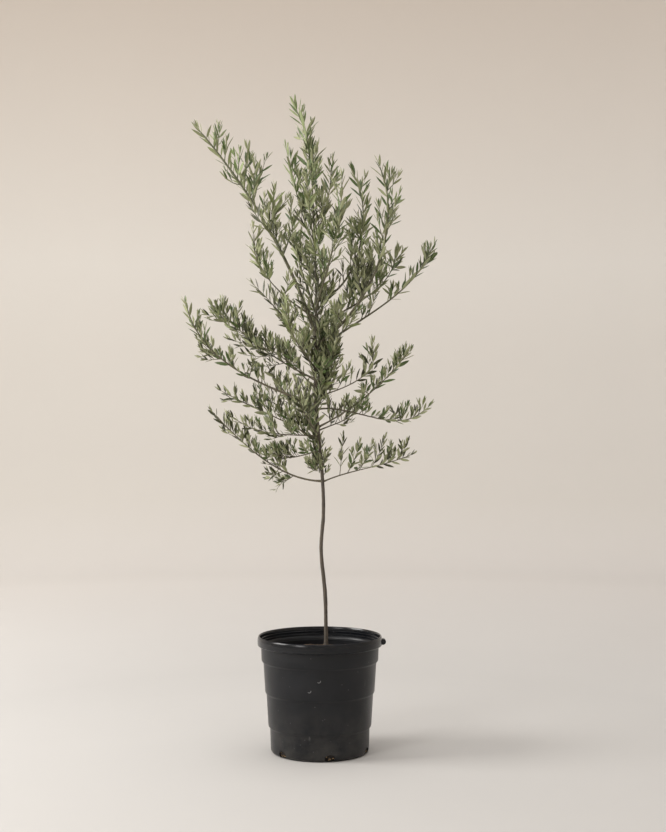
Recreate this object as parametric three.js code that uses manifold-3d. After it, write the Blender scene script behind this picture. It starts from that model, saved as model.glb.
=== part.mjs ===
// A young olive tree growing in a stepped nursery pot. Millimetres, +Z up.
// The origin is the centre of the pot's flat underside. +X is the tree's right, -Y its front.
//
// Every limb is a curve with a taper. A bough runs bare from the trunk to the place where its
// leaves begin. From there a stem carries the same curve on to the tip, and shoots with leaves
// branch from that stem by a seeded rule. Each bough, and each stem with its shoots and leaves,
// is a solid of its own.

import * as THREE from "three";
import { mergeVertices } from "three/addons/utils/BufferGeometryUtils.js";
import Module from "manifold-3d";

const wasm = await Module();
wasm.setup();

// ---------------------------------------------------------------- driving dimensions

const GAP = 0.3; // between neighbouring solids
const MERGE = 0.001; // corners nearer than this become one

// The pot: a thin shell whose wall steps inwards three times on the way down.
const POT_SIDES = 30;
const POT_HEIGHT = 331;
const POT_WALL = 3;
const POT_FLOOR = 4;
const POT_CORNER = 12;
const INSIDE_CORNER = 14; // height where the inner wall begins
const RIM_RADIUS = 178;
const RIM_DEPTH = 28;
const RIM_ROUND = 5;
const RIM_EDGE = 1.5; // how far the rim's edges are set in
const RIM_WALL = 6; // the rim is rolled over, so it is thicker than the wall
const TIERS = [
  { bottom: POT_CORNER, bottomRadius: 140, top: 71, topRadius: 142 },
  { bottom: 77, bottomRadius: 147, top: 167, topRadius: 152 },
  { bottom: 173, bottomRadius: 156, top: 256, topRadius: 161 },
  { bottom: 262, bottomRadius: 166.5, top: POT_HEIGHT - RIM_DEPTH, topRadius: 168 },
];
const LUG_RADIUS = 8.5;
const LUG_WIDTH = 22;
const LUG_SIDES = 10;
const LUG_BELOW_TOP = 17.5;
const LUG_REACH = 1.5; // from the rim to the lug's axis
const LUG_ROOT = 5; // how deep the lug goes into the rim
const DRAIN_COUNT = 6;
const DRAIN_WIDTH = 28;
const DRAIN_HEIGHT = 17;
const DRAIN_DEPTH = 40;
const DRAIN_SIDES = 10;
const DRAIN_BEARING = -78; // degrees from +X, so one hole is a little right of the front

// The soil stands below the rim and rises a little towards the foot of the trunk.
const SOIL_TOP = 284;
const SOIL_CLEARANCE = 0.5; // from the pot's wall
const SOIL_EDGE_DROP = 5;
const SOIL_FLAT_RADIUS = 50;

// The trunk: its sway at a few heights, its taper and the flare of its foot.
const TRUNK_SWAY = [
  { height: SOIL_TOP - 8, right: 18, back: 0 },
  { height: 446, right: 15, back: 2 },
  { height: 577, right: 3.5, back: -2 },
  { height: 676, right: 10, back: 0 },
  { height: 757, right: 8.5, back: 3 },
  { height: 1040, right: -13, back: -2 },
  { height: 1289, right: -10, back: 3 },
  { height: 1574, right: -20, back: 0 },
];
const TRUNK_RADIUS = 5.6;
const TRUNK_TOP_RADIUS = 2.6;
const TRUNK_TAPER = 1.5; // above 1 the trunk keeps its width low down
const TRUNK_FLARE = 4.5;
const TRUNK_FLARE_HEIGHT = 12;
const GROUND_BLOCK = 80; // what cuts the trunk flat at the soil
const TRUNK_SIDES = 8;
const TRUNK_STEPS = 18;

// Limbs. A limb's length sets its root radius, so long boughs are the thicker ones.
const BOUGH_SIDES = 5;
const BOUGH_STEP = 46; // length of one straight stretch
const BOUGH_SLIMNESS = 95; // length over root radius
const THINNEST_BOUGH = 2.8;
const TIP_SHARE = 0.45; // tip radius over root radius
const BOUGH_TAPER = 0.8; // below 1 a bough thins most near its root
const STEM_SIDES = 4;
const SHOOT_SIDES = 3;
const STEM_STEP = 56;
const SHOOT_STEP = 60;
const SHOOT_SHARE = 0.6; // a shoot's root radius over its stem's
const SHOOT_TIP_RADIUS = 0.8;
const SHOOT_FOOT = 0.1; // share of a shoot's length that may be hidden in its stem
const FIRST_SHOOT = 0.35; // spacings from a stem's foot to its first shoot
const SHOOT_JITTER = 0.5; // spacings by which a shoot may stand further on
const LEAST_TURN = 0.25; // of the spread, for the shoots nearest a stem's upper side
const SHOOT_RANGE = [0.8, 1.2]; // shortest and longest over the planned length
const SHOOT_ANGLE = 50; // degrees between a shoot's foot and its stem
const SHOOT_SPREAD = 65; // degrees from the stem's upper side to the last side that bears shoots
const LAST_SHOOT = 0.5; // length of the shoots at a stem's tip over those at its foot
const LIGHT_SEEKING = 1.1; // how strongly a shoot turns up towards its tip

// Leaves stand in opposite pairs, each pair turned a quarter from the last, with one at the tip.
const LEAF_LENGTH = 62;
const LEAF_WIDTH = 17;
const LEAF_THICKNESS = 2.4;
const LEAF_WIDEST = 0.4; // share of the length from the root
const LEAF_ANGLE = 36;
const LEAF_STEP = 56; // between pairs
const LAST_PAIR = 0.6; // steps from the last pair to the twig's tip
const PAIR_ROLL = 0.8; // radians by which a pair may be turned further
const LEAF_SINK = 0.4; // how far a side leaf's root goes past the twig's axis
const TIP_LEAF_SINK = 1.3; // how far the last leaf's root goes back into the twig's end
const LEAF_RISE = 0.35; // how strongly leaves turn up
const FIRST_LEAF = 0.35; // share of a shoot that stays bare at its foot
const FIRST_STEM_LEAF = 0.4; // share of a bough's curve without leaves of its own

// The boughs, from the lowest up. height is where one leaves the trunk, and bearing its direction
// seen from above, in degrees from +X towards +Y. reach and rise take it out and up to its tip.
// leave and arrive are its slopes in degrees at the trunk and at the tip. bare is the share of it
// that is a bough of its own; at 0 its leafy stem starts at the trunk.
const BOUGHS = [
  // name              height bearing reach rise leave arrive bare shoots length
  ["left_lowest",         771,    178,  340, 222,    0,    46, 0.28,    5,   40],
  ["right_lowest",        769,      4,  286,  88,   24,    20, 0.20,    5,  104],
  ["spur_low",            812,   -140,   72,  40,   10,    50, 0.00,    2,   20],
  ["right_spur",         1050,    -38,   72, 190,   48,    92, 0.00,    4,   40],
  ["left_sprig",          857,    184,  178,  20,   -8,    30, 0.45,    3,   30],
  ["back_right_low",      915,     52,  252, 112,   16,    40, 0.25,    4,   38],
  ["front_low",           904,   -104,  268, 178,   18,    55, 0.20,    4,   40],
  ["left_level",          900,    192,  275,  70,    4,    32, 0.15,    4,   30],
  ["right_mid",           925,     -9,  282, 243,   26,    52, 0.20,    5,   34],
  ["left_low",            882,    170,  319, 164,   36,    28, 0.12,    5,   34],
  ["back_low",            950,    116,  300, 135,   10,    45, 0.20,    4,   40],
  ["right_low",           976,      8,  352,  28,   10,    38, 0.12,    5,   22],
  ["left_mid",            990,    184,  380, 314,   18,    72, 0.15,    5,   40],
  ["right_upright",      1012,    -14,  160, 182,   14,    98, 0.35,    3,   26],
  ["left_forked",        1036,    203,  250, 116,   42,     0, 0.45,    3,   34],
  ["left_high",          1062,    174,  316, 232,   24,    44, 0.15,    7,   50],
  ["front_mid",          1092,   -108,  275, 205,   25,    62, 0.18,    5,   44],
  ["back_mid",           1120,     74,  300, 225,   25,    60, 0.18,    5,   44],
  ["upper_right",        1142,     11,  362, 336,   38,    63, 0.30,    4,   20],
  ["right_high",         1160,     -8,  174, 537,   30,   108, 0.24,    5,   80],
  ["left_bare",          1176,    200,  208, 170,    8,    42, 0.35,    2,   20],
  ["upper_left",         1186,    168,  370, 628,   72,    50, 0.28,    5,  112],
  ["right_outer",        1205,     24,  266, 268,   38,    76, 0.28,    5,   80],
  ["left_arching",       1238,   -158,  190, 276,   25,    90, 0.50,    4,   44],
  ["back_high",          1246,    112,  215, 380,   52,    84, 0.18,    4,   50],
  ["front_high",         1266,    -68,  195, 370,   54,    85, 0.18,    3,   50],
  ["right_inner",        1288,     16,   94, 402,   10,   115, 0.15,    5,   48],
  ["top_left",           1455,    163,   92, 296,   58,    76, 0.00,    4,   40],
  ["top_front",          1440,   -106,   78, 240,   56,    84, 0.00,    3,   40],
  ["top_right",          1470,     35,   66, 250,   56,    84, 0.00,    3,   44],
].map(([name, height, bearing, reach, rise, leave, arrive, bare, shoots, shootLength]) => (
  { name, height, bearing, reach, rise, leave, arrive, bare, shoots, shootLength }
));

// The leader carries the trunk on to the top of the tree.
const LEADER = {
  name: "leader",
  right: -85,
  back: -10,
  height: 1871,
  bearing: 190,
  leave: 88,
  arrive: 66,
  bare: 0,
  shoots: 5,
  shootLength: 38,
};

const plastic = new THREE.MeshStandardMaterial({ color: 0x2c2c2e, roughness: 0.5 });
const soilMix = new THREE.MeshStandardMaterial({ color: 0x3b2a1d, roughness: 1 });
const bark = new THREE.MeshStandardMaterial({ color: 0x5b4c3c, roughness: 0.9 });
const leafGreen = new THREE.MeshStandardMaterial({ color: 0x6c7b5a, roughness: 0.6 });

// ---------------------------------------------------------------- helpers

const UP = new THREE.Vector3(0, 0, 1);
const radians = THREE.MathUtils.degToRad;
const lerp = THREE.MathUtils.lerp;

/** A repeatable stream of numbers from 0 to 1. */
function seededRandom(seed) {
  let state = seed >>> 0;
  return () => {
    state = (state + 0x6d2b79f5) >>> 0;
    let mixed = Math.imul(state ^ (state >>> 15), state | 1);
    mixed ^= mixed + Math.imul(mixed ^ (mixed >>> 7), mixed | 61);
    return ((mixed ^ (mixed >>> 14)) >>> 0) / 4294967296;
  };
}

/** Turns a closed geometry into a solid that can be joined and cut. */
function toSolid(geometry) {
  geometry.deleteAttribute("normal");
  geometry.deleteAttribute("uv");
  const merged = mergeVertices(geometry, MERGE);
  const index = merged.index.array;
  const triVerts = [];
  for (let i = 0; i < index.length; i += 3) {
    const [a, b, c] = index.slice(i, i + 3);
    const flat = a === b || b === c || c === a;
    if (!flat) triVerts.push(a, b, c);
  }
  const vertProperties = new Float32Array(merged.attributes.position.array);
  const mesh = new wasm.Mesh({ numProp: 3, vertProperties, triVerts: new Uint32Array(triVerts) });
  return new wasm.Manifold(mesh);
}

/** The largest closed body of a solid, without loose scraps or sealed hollows. */
function oneBody(solid) {
  const bodies = solid.decompose();
  return bodies.reduce((best, body) => (body.volume() > best.volume() ? body : best));
}

function geometryOf(solid) {
  const { vertProperties, triVerts } = solid.getMesh();
  const geometry = new THREE.BufferGeometry();
  geometry.setAttribute("position", new THREE.BufferAttribute(vertProperties, 3));
  geometry.setIndex(new THREE.BufferAttribute(triVerts, 1));
  return geometry;
}

/** Whether each edge still has exactly two faces once corners nearer than `near` are one. */
function isClosed(solid, near) {
  const index = mergeVertices(geometryOf(solid), near).index.array;
  const faces = new Map();
  for (let i = 0; i < index.length; i += 3) {
    const corners = [index[i], index[i + 1], index[i + 2]];
    if (new Set(corners).size < 3) continue;
    corners.forEach((corner, k) => {
      const next = corners[(k + 1) % 3];
      const edge = `${Math.min(corner, next)} ${Math.max(corner, next)}`;
      faces.set(edge, (faces.get(edge) ?? 0) + 1);
    });
  }
  return [...faces.values()].every((count) => count === 2);
}

/** A solid and a piece joined, or the solid alone where joining would leave a pinched edge. */
function joined(solid, piece) {
  const both = solid.add(piece);
  const sound = [MERGE, 3 * MERGE, 10 * MERGE].every((near) => isClosed(both, near));
  return sound ? both : solid;
}

/** A named mesh of a solid, without the slivers that joining leaves. */
function meshOf(solid, name, material) {
  const geometry = geometryOf(oneBody(toSolid(geometryOf(solid))));
  geometry.computeVertexNormals();
  const mesh = new THREE.Mesh(geometry, material);
  mesh.name = name;
  return mesh;
}

/** The shortest distance between segments a-b and c-d. */
function segmentGap(a, b, c, d) {
  const u = b.clone().sub(a);
  const v = d.clone().sub(c);
  const w = a.clone().sub(c);
  const uu = u.dot(u);
  const uv = u.dot(v);
  const vv = v.dot(v);
  const uw = u.dot(w);
  const vw = v.dot(w);
  const clamp = THREE.MathUtils.clamp;
  const across = uu * vv - uv * uv;
  let s = across > 1e-9 ? clamp((uv * vw - vv * uw) / across, 0, 1) : 0;
  const t = clamp((uv * s + vw) / vv, 0, 1);
  s = clamp((uv * t - uw) / uu, 0, 1);
  return w.addScaledVector(u, s).addScaledVector(v, -t).length();
}

// ---------------------------------------------------------------- pot and soil

/** A solid of revolution about +Z from [radius, height] points that close on the axis. */
function turned(points, sides) {
  const profile = points.map(([radius, height]) => new THREE.Vector2(radius, height));
  return toSolid(new THREE.LatheGeometry(profile, sides).rotateX(Math.PI / 2));
}

function potOutside() {
  const cornerAxis = TIERS[0].bottomRadius - POT_CORNER;
  const corner = [
    cornerAxis + POT_CORNER * Math.cos(radians(45)),
    POT_CORNER - POT_CORNER * Math.sin(radians(45)),
  ];
  const wall = TIERS.flatMap((tier) => [
    [tier.bottomRadius, tier.bottom],
    [tier.topRadius, tier.top],
  ]);
  const rim = [
    [RIM_RADIUS - RIM_EDGE, POT_HEIGHT - RIM_DEPTH + RIM_EDGE],
    [RIM_RADIUS, POT_HEIGHT - RIM_DEPTH + RIM_ROUND],
    [RIM_RADIUS, POT_HEIGHT - RIM_ROUND],
    [RIM_RADIUS - RIM_EDGE, POT_HEIGHT],
  ];
  return [[cornerAxis, 0], corner, ...wall, ...rim];
}

/** The inner wall from the floor up, set in from the outer one by the wall's thickness. */
function potInside() {
  const wall = TIERS.flatMap((tier, i) => [
    [tier.bottomRadius - POT_WALL, i === 0 ? INSIDE_CORNER : tier.bottom],
    [tier.topRadius - POT_WALL, tier.top],
  ]);
  return [[TIERS[0].bottomRadius - POT_WALL - POT_CORNER / 2, POT_FLOOR], ...wall];
}

/** The round lug beside the rim, cut clear of the space inside the rim. */
function lug() {
  const middle = POT_HEIGHT - LUG_BELOW_TOP;
  const inside = RIM_RADIUS - LUG_ROOT;
  const knob = new THREE.CylinderGeometry(LUG_RADIUS, LUG_RADIUS, LUG_WIDTH, LUG_SIDES);
  const space = new THREE.CylinderGeometry(inside, inside, 4 * LUG_RADIUS, POT_SIDES);
  knob.translate(RIM_RADIUS + LUG_REACH, 0, middle);
  space.rotateX(Math.PI / 2).translate(0, 0, middle);
  return toSolid(knob).subtract(toSolid(space));
}

/** An oval hole through the foot of the wall. */
function drain(bearing) {
  const hole = new THREE.CylinderGeometry(0.5, 0.5, DRAIN_DEPTH, DRAIN_SIDES).rotateZ(Math.PI / 2);
  hole.scale(1, DRAIN_WIDTH, DRAIN_HEIGHT);
  hole.translate(TIERS[0].bottomRadius, 0, POT_FLOOR + DRAIN_HEIGHT / 2).rotateZ(radians(bearing));
  return toSolid(hole);
}

function pot() {
  const mouth = [
    [RIM_RADIUS - RIM_WALL, POT_HEIGHT],
    [RIM_RADIUS - RIM_WALL - RIM_EDGE, POT_HEIGHT - RIM_ROUND],
    [RIM_RADIUS - RIM_WALL - RIM_EDGE, POT_HEIGHT - RIM_DEPTH / 2],
  ];
  const profile = [[0, 0], ...potOutside(), ...mouth, ...potInside().reverse(), [0, POT_FLOOR]];
  let solid = turned(profile, POT_SIDES).add(lug());
  for (let i = 0; i < DRAIN_COUNT; i++) {
    solid = solid.subtract(drain(DRAIN_BEARING + (i * 360) / DRAIN_COUNT));
  }
  return meshOf(solid, "pot", plastic);
}

/** The soil reaches the wall at the top of each tier and at its own surface. */
function soil() {
  const inset = POT_WALL + SOIL_CLEARANCE;
  const surface = SOIL_TOP - SOIL_EDGE_DROP;
  const foot = TIERS[0].bottomRadius - inset;
  const filled = TIERS.filter(({ top }) => top < surface);
  const tops = filled.map(({ top, topRadius }) => [topRadius - inset, top]);
  const edge = [TIERS[TIERS.length - 1].bottomRadius - inset, surface];
  const profile = [
    [0, POT_FLOOR + GAP], [foot - POT_CORNER / 2, POT_FLOOR + GAP], [foot, INSIDE_CORNER],
    ...tops, edge, [SOIL_FLAT_RADIUS, SOIL_TOP], [0, SOIL_TOP],
  ];
  return meshOf(turned(profile, POT_SIDES), "soil", soilMix);
}

// ---------------------------------------------------------------- limbs

/** A closed tapering tube along a curve from share `from` to share `to` of its length. */
function limbSolid({ curve, from, to, radiusAt, sides, steps }) {
  const tube = new THREE.CylinderGeometry(1, 1, 1, sides, steps);
  const place = tube.attributes.position;
  for (let i = 0; i < place.count; i++) {
    const share = lerp(from, to, place.getY(i) + 0.5);
    const { across, beside } = crossAxes(curve, share);
    const radius = radiusAt(share);
    const point = curve.getPointAt(share)
      .addScaledVector(across, place.getX(i) * radius)
      .addScaledVector(beside, place.getZ(i) * radius);
    place.setXYZ(i, point.x, point.y, point.z);
  }
  return toSolid(tube);
}

/** The point on a limb's axis at a share of its curve, on the straight stretch that is there. */
function pointOn({ curve, from, to, steps }, share) {
  const stretch = Math.min(Math.floor(((share - from) / (to - from)) * steps), steps - 1);
  const start = lerp(from, to, stretch / steps);
  const end = lerp(from, to, (stretch + 1) / steps);
  return curve.getPointAt(start).lerp(curve.getPointAt(end), (share - start) / (end - start));
}

/** Two axes square to a curve. `across` is level, or nearly so where the curve stands upright. */
function crossAxes(curve, share) {
  const along = curve.getTangentAt(share);
  const across = curve.level.clone().addScaledVector(along, -curve.level.dot(along)).normalize();
  const beside = across.clone().cross(along);
  return { along, across, beside };
}

/** The unit vector of a bearing and a slope, both in degrees. */
function heading(bearing, slope) {
  const flat = Math.cos(radians(slope));
  const x = flat * Math.cos(radians(bearing));
  const y = flat * Math.sin(radians(bearing));
  return new THREE.Vector3(x, y, Math.sin(radians(slope)));
}

/** A curve in one upright plane, between two points, with its slopes at both ends. */
function archedCurve(from, to, leave, arrive) {
  const bearing = THREE.MathUtils.radToDeg(Math.atan2(to.y - from.y, to.x - from.x));
  const handle = from.distanceTo(to) / 3;
  const first = from.clone().addScaledVector(heading(bearing, leave), handle);
  const second = to.clone().addScaledVector(heading(bearing, arrive), -handle);
  const curve = new THREE.CubicBezierCurve3(from, first, second, to);
  curve.level = heading(bearing + 90, 0);
  return curve;
}

const trunkCurve = new THREE.CatmullRomCurve3(
  TRUNK_SWAY.map(({ right, back, height }) => new THREE.Vector3(right, back, height)),
);
trunkCurve.level = new THREE.Vector3(0, 1, 0);

/** The share of the trunk's length at a height. */
function trunkShare(height) {
  let low = 0;
  let high = 1;
  while (high - low > 1e-5) {
    const middle = (low + high) / 2;
    if (trunkCurve.getPointAt(middle).z < height) low = middle;
    else high = middle;
  }
  return low;
}

function trunkRadius(share) {
  const above = trunkCurve.getPointAt(share).z - SOIL_TOP;
  const flare = TRUNK_FLARE * Math.exp(-Math.max(0, above) / TRUNK_FLARE_HEIGHT);
  return lerp(TRUNK_RADIUS, TRUNK_TOP_RADIUS, share ** TRUNK_TAPER) + flare;
}

const trunk = {
  curve: trunkCurve, from: 0, to: 1, radiusAt: trunkRadius, sides: TRUNK_SIDES, steps: TRUNK_STEPS,
};

function trunkSolid(clearance) {
  const radiusAt = (share) => trunkRadius(share) + clearance;
  const ground = new THREE.BoxGeometry(GROUND_BLOCK, GROUND_BLOCK, GROUND_BLOCK);
  ground.translate(0, 0, SOIL_TOP + GAP - GROUND_BLOCK / 2);
  return limbSolid({ ...trunk, radiusAt }).subtract(toSolid(ground));
}

/** Each bough's curve from the trunk's axis to its tip, with the radius along it. */
function boughCurve({ height, bearing, reach, rise, leave, arrive }) {
  const root = trunkCurve.getPointAt(trunkShare(height));
  const out = heading(bearing, 0).multiplyScalar(reach);
  const lastPoint = root.clone().add(out).addScaledVector(UP, rise);
  const tip = lastPoint.addScaledVector(heading(bearing, arrive), -LEAF_LENGTH);
  return archedCurve(root, tip, leave, arrive);
}

function leaderCurve() {
  const root = trunkCurve.getPointAt(1);
  const lastPoint = new THREE.Vector3(LEADER.right, LEADER.back, LEADER.height);
  const tip = lastPoint.addScaledVector(heading(LEADER.bearing, LEADER.arrive), -LEAF_LENGTH);
  return archedCurve(root, tip, LEADER.leave, LEADER.arrive);
}

function boughRadius(rootRadius) {
  return (share) => rootRadius * lerp(1, TIP_SHARE, share ** BOUGH_TAPER);
}

// ---------------------------------------------------------------- room for each solid

// Everything placed so far, as straight capsules, each with the name of the solid it is part of.
const placed = [];

function claim(owner, a, b, radius) {
  placed.push({ owner, a, b, radius });
}

function claimLimb(owner, { curve, from, to, radiusAt, steps }) {
  for (let i = 0; i < steps; i++) {
    const start = lerp(from, to, i / steps);
    const end = lerp(from, to, (i + 1) / steps);
    claim(owner, curve.getPointAt(start), curve.getPointAt(end), radiusAt(start));
  }
}

/** Whether a capsule is clear of every solid but its own. */
function isFree(owner, a, b, radius) {
  return placed.every((other) => {
    if (other.owner === owner) return true;
    return segmentGap(a, b, other.a, other.b) > radius + other.radius + GAP;
  });
}

// ---------------------------------------------------------------- shoots and leaves

/** A shoot that leaves its stem at an angle and turns up towards the light. */
function shootOf(stem, { share, side, length }) {
  const { along, across, beside } = crossAxes(stem.curve, share);
  const upper = beside.z < 0 ? beside.negate() : beside;
  const roll = radians(side * SHOOT_SPREAD);
  const away = upper.multiplyScalar(Math.cos(roll)).addScaledVector(across, Math.sin(roll));
  const angle = radians(SHOOT_ANGLE);
  const start = along.clone().multiplyScalar(Math.cos(angle)).addScaledVector(away, Math.sin(angle));
  const end = start.clone().addScaledVector(UP, LIGHT_SEEKING).normalize();
  const foot = pointOn(stem, share);
  const bend = foot.clone().addScaledVector(start, length / 2);
  const tip = bend.clone().addScaledVector(end, length / 2);
  const curve = new THREE.QuadraticBezierCurve3(foot, bend, tip);
  curve.level = across;
  const rootRadius = stem.radiusAt(share) * SHOOT_SHARE;
  const radiusAt = (reached) => lerp(rootRadius, SHOOT_TIP_RADIUS, reached);
  const steps = Math.max(1, Math.round(length / SHOOT_STEP));
  return { curve, from: 0, to: 1, radiusAt, sides: SHOOT_SIDES, steps };
}

/** Where the shoots of a stem stand on it, the side each takes and its length. */
function shootPlan(bough, random) {
  return Array.from({ length: bough.shoots }, (_, i) => {
    const along = (i + FIRST_SHOOT + SHOOT_JITTER * random()) / bough.shoots;
    const side = (i % 2 ? 1 : -1) * lerp(LEAST_TURN, 1, random());
    const length = bough.shootLength * lerp(1, LAST_SHOOT, along) * lerp(...SHOOT_RANGE, random());
    return { share: lerp(bough.bare, 1, along), side, length };
  });
}

/** Eight faces from a root sunk in the twig out to a pointed tip. */
function leafSolid({ root, direction, blade }) {
  const leaf = new THREE.OctahedronGeometry(1).scale(LEAF_WIDTH / 2, LEAF_LENGTH, LEAF_THICKNESS / 2);
  const place = leaf.attributes.position;
  for (let i = 0; i < place.count; i++) {
    const y = place.getY(i);
    place.setY(i, y < 0 ? y * LEAF_WIDEST : y * (1 - LEAF_WIDEST));
  }
  const widest = root.clone().addScaledVector(direction, LEAF_LENGTH * LEAF_WIDEST);
  const frame = new THREE.Matrix4().makeBasis(blade, direction, blade.clone().cross(direction));
  return toSolid(leaf.applyMatrix4(frame.setPosition(widest)));
}

/** Where the leaves of a twig stand: one at its tip, and pairs back along it. */
function leafPlan(twig, firstShare, random) {
  const { curve } = twig;
  const end = crossAxes(curve, 1);
  const lastRoot = curve.getPointAt(1).addScaledVector(end.along, -TIP_LEAF_SINK);
  const leaves = [{ root: lastRoot, direction: end.along, blade: end.across }];
  const length = curve.getLength();
  const pairs = Math.round((length * (1 - firstShare)) / LEAF_STEP);
  for (let pair = 0; pair < pairs; pair++) {
    const share = 1 - ((pair + LAST_PAIR) * LEAF_STEP) / length;
    const { along, across, beside } = crossAxes(curve, share);
    const roll = (pair * Math.PI) / 2 + random() * PAIR_ROLL;
    for (const turn of [roll, roll + Math.PI]) {
      const away = across.clone().multiplyScalar(Math.cos(turn)).addScaledVector(beside, Math.sin(turn));
      const direction = along.clone()
        .multiplyScalar(Math.cos(radians(LEAF_ANGLE)))
        .addScaledVector(away, Math.sin(radians(LEAF_ANGLE)))
        .addScaledVector(UP, LEAF_RISE)
        .normalize();
      const blade = direction.clone().cross(away).normalize();
      const root = pointOn(twig, share).addScaledVector(direction, -LEAF_SINK);
      leaves.push({ root, direction, blade });
    }
  }
  return leaves;
}

/** One mass of foliage: a stem, the shoots that find room and the leaves that find room. */
function foliage(bough, stem, seed, cutter) {
  const owner = `leaves_${bough.name}`;
  const random = seededRandom(seed);
  const twigs = [{ twig: stem, firstShare: Math.max(bough.bare, FIRST_STEM_LEAF) }];
  let solid = limbSolid(stem);
  for (const plan of shootPlan(bough, random)) {
    const shoot = shootOf(stem, plan);
    const foot = shoot.curve.getPointAt(SHOOT_FOOT);
    const tip = shoot.curve.getPointAt(1);
    const radius = shoot.radiusAt(0);
    if (!isFree(owner, foot, tip, radius)) continue;
    claim(owner, foot, tip, radius);
    solid = joined(solid, limbSolid(shoot));
    twigs.push({ twig: shoot, firstShare: FIRST_LEAF });
  }
  for (const { twig, firstShare } of twigs) {
    for (const leaf of leafPlan(twig, firstShare, random)) {
      const start = leaf.root.clone().addScaledVector(leaf.direction, LEAF_WIDTH / 3);
      const end = leaf.root.clone().addScaledVector(leaf.direction, LEAF_LENGTH);
      if (!isFree(owner, start, end, LEAF_WIDTH / 2)) continue;
      claim(owner, start, end, LEAF_WIDTH / 2);
      solid = joined(solid, leafSolid(leaf));
    }
  }
  return meshOf(cutter ? solid.subtract(cutter) : solid, owner, leafGreen);
}

// ---------------------------------------------------------------- assembly

const tree = new THREE.Group();
tree.add(pot(), soil());
tree.add(meshOf(trunkSolid(0), "trunk", bark));
claimLimb("trunk", trunk);

/** The straight stretches that a part of a curve is made of. */
function stepsOf(curve, share, step) {
  return Math.max(2, Math.round((curve.getLength() * share) / step));
}

const trunkSpace = trunkSolid(GAP);
const grown = BOUGHS.map((bough) => {
  const curve = boughCurve(bough);
  const rootRadius = Math.max(THINNEST_BOUGH, curve.getLength() / BOUGH_SLIMNESS);
  return { bough, curve, radiusAt: boughRadius(rootRadius) };
});
const leaderRadius = (share) => lerp(TRUNK_TOP_RADIUS, THINNEST_BOUGH * TIP_SHARE, share);
const leader = { bough: LEADER, curve: leaderCurve(), radiusAt: leaderRadius };

for (const { bough, curve, radiusAt } of grown) {
  if (bough.bare === 0) continue;
  const steps = stepsOf(curve, bough.bare, BOUGH_STEP);
  const limb = { curve, from: 0, to: bough.bare, radiusAt, sides: BOUGH_SIDES, steps };
  tree.add(meshOf(limbSolid(limb).subtract(trunkSpace), `bough_${bough.name}`, bark));
  claimLimb(`bough_${bough.name}`, limb);
}
const stems = [...grown, leader].map(({ bough, curve, radiusAt }) => {
  const from = bough.bare + GAP / curve.getLength();
  const steps = stepsOf(curve, 1 - from, STEM_STEP);
  return { bough, stem: { curve, from, to: 1, radiusAt, sides: STEM_SIDES, steps } };
});
for (const { bough, stem } of stems) claimLimb(`leaves_${bough.name}`, stem);
stems.forEach(({ bough, stem }, i) => {
  const cutter = bough.bare === 0 ? trunkSpace : null;
  tree.add(foliage(bough, stem, i + 1, cutter));
});

export default tree;
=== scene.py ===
"""A young olive tree in a stepped nursery pot, dressed over its solid frame.

The limbs grow by the same rule as the solids and are carried on to finer twigs and real leaves.
Growth is worked out in millimetres and made in metres. +Z is up and -Y is the front.
"""

import bisect
import math
from dataclasses import dataclass
from typing import Callable

import bpy
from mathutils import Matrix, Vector


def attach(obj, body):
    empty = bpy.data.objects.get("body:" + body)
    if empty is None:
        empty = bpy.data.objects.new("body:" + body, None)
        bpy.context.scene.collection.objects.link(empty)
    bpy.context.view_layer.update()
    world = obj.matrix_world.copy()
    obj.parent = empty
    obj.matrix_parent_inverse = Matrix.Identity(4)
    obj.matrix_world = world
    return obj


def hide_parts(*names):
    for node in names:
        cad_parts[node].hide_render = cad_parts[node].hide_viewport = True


MM = 0.001
UP = Vector((0.0, 0.0, 1.0))

# ---------------------------------------------------------------- pot and soil, in millimetres

POT_SIDES = 120
OUTSIDE = [  # radius and height, from the foot to the top of the rim
    (128.0, 0.0), (132.6, 0.9), (136.5, 3.5), (139.1, 7.4), (140.0, 12.0), (141.0, 40.0),
    (142.0, 69.0), (142.8, 71.5), (146.0, 75.0), (147.0, 78.0), (149.5, 122.0), (152.0, 165.5),
    (152.7, 168.0), (155.2, 171.2), (156.0, 174.0), (158.6, 215.0), (161.0, 254.5), (161.9, 257.0),
    (165.5, 260.4), (166.5, 263.0), (167.2, 282.0), (168.0, 301.5), (170.2, 303.4), (175.6, 304.0),
    (177.4, 305.6), (178.0, 309.0), (177.6, 311.0), (178.0, 312.6), (178.2, 315.0), (178.0, 319.5),
    (177.4, 323.8), (176.6, 327.4), (175.6, 329.9), (174.4, 331.0),
]
INSIDE = [  # from the top of the rim down to the floor, with thin ridges under the mouth
    (172.6, 330.4), (171.4, 328.4), (170.8, 325.0), (170.4, 319.0), (169.3, 317.8), (170.2, 316.6),
    (169.9, 311.0), (168.8, 309.8), (169.7, 308.6), (169.2, 303.5), (166.6, 300.6), (165.4, 298.0),
    (165.2, 294.0), (164.2, 292.8), (165.0, 291.6), (164.4, 270.0), (163.6, 261.0), (158.6, 255.0),
    (149.2, 166.0), (144.4, 76.0), (139.2, 70.0), (137.0, 14.0), (131.0, 4.0),
]
LUG_RADIUS = 8.5
LUG_WIDTH = 22.0
LUG_AXIS = (180.0, 0.0, 313.5)
LUG_EDGE = 2.2
LUG_EDGE_STEPS = 4
LUG_SIDES = 40
DRAIN_COUNT = 6
DRAIN_WIDTH = 28.0
DRAIN_HEIGHT = 17.0
DRAIN_DEPTH = 40.0
DRAIN_BEARING = -78.0
DRAIN_REACH = 140.0  # from the pot's axis
DRAIN_FOOT = 4.0
ARCH_SIDES = 32
ARCH_MIDDLE = 0.01  # corners less than this below the middle belong to the round upper half

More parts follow.
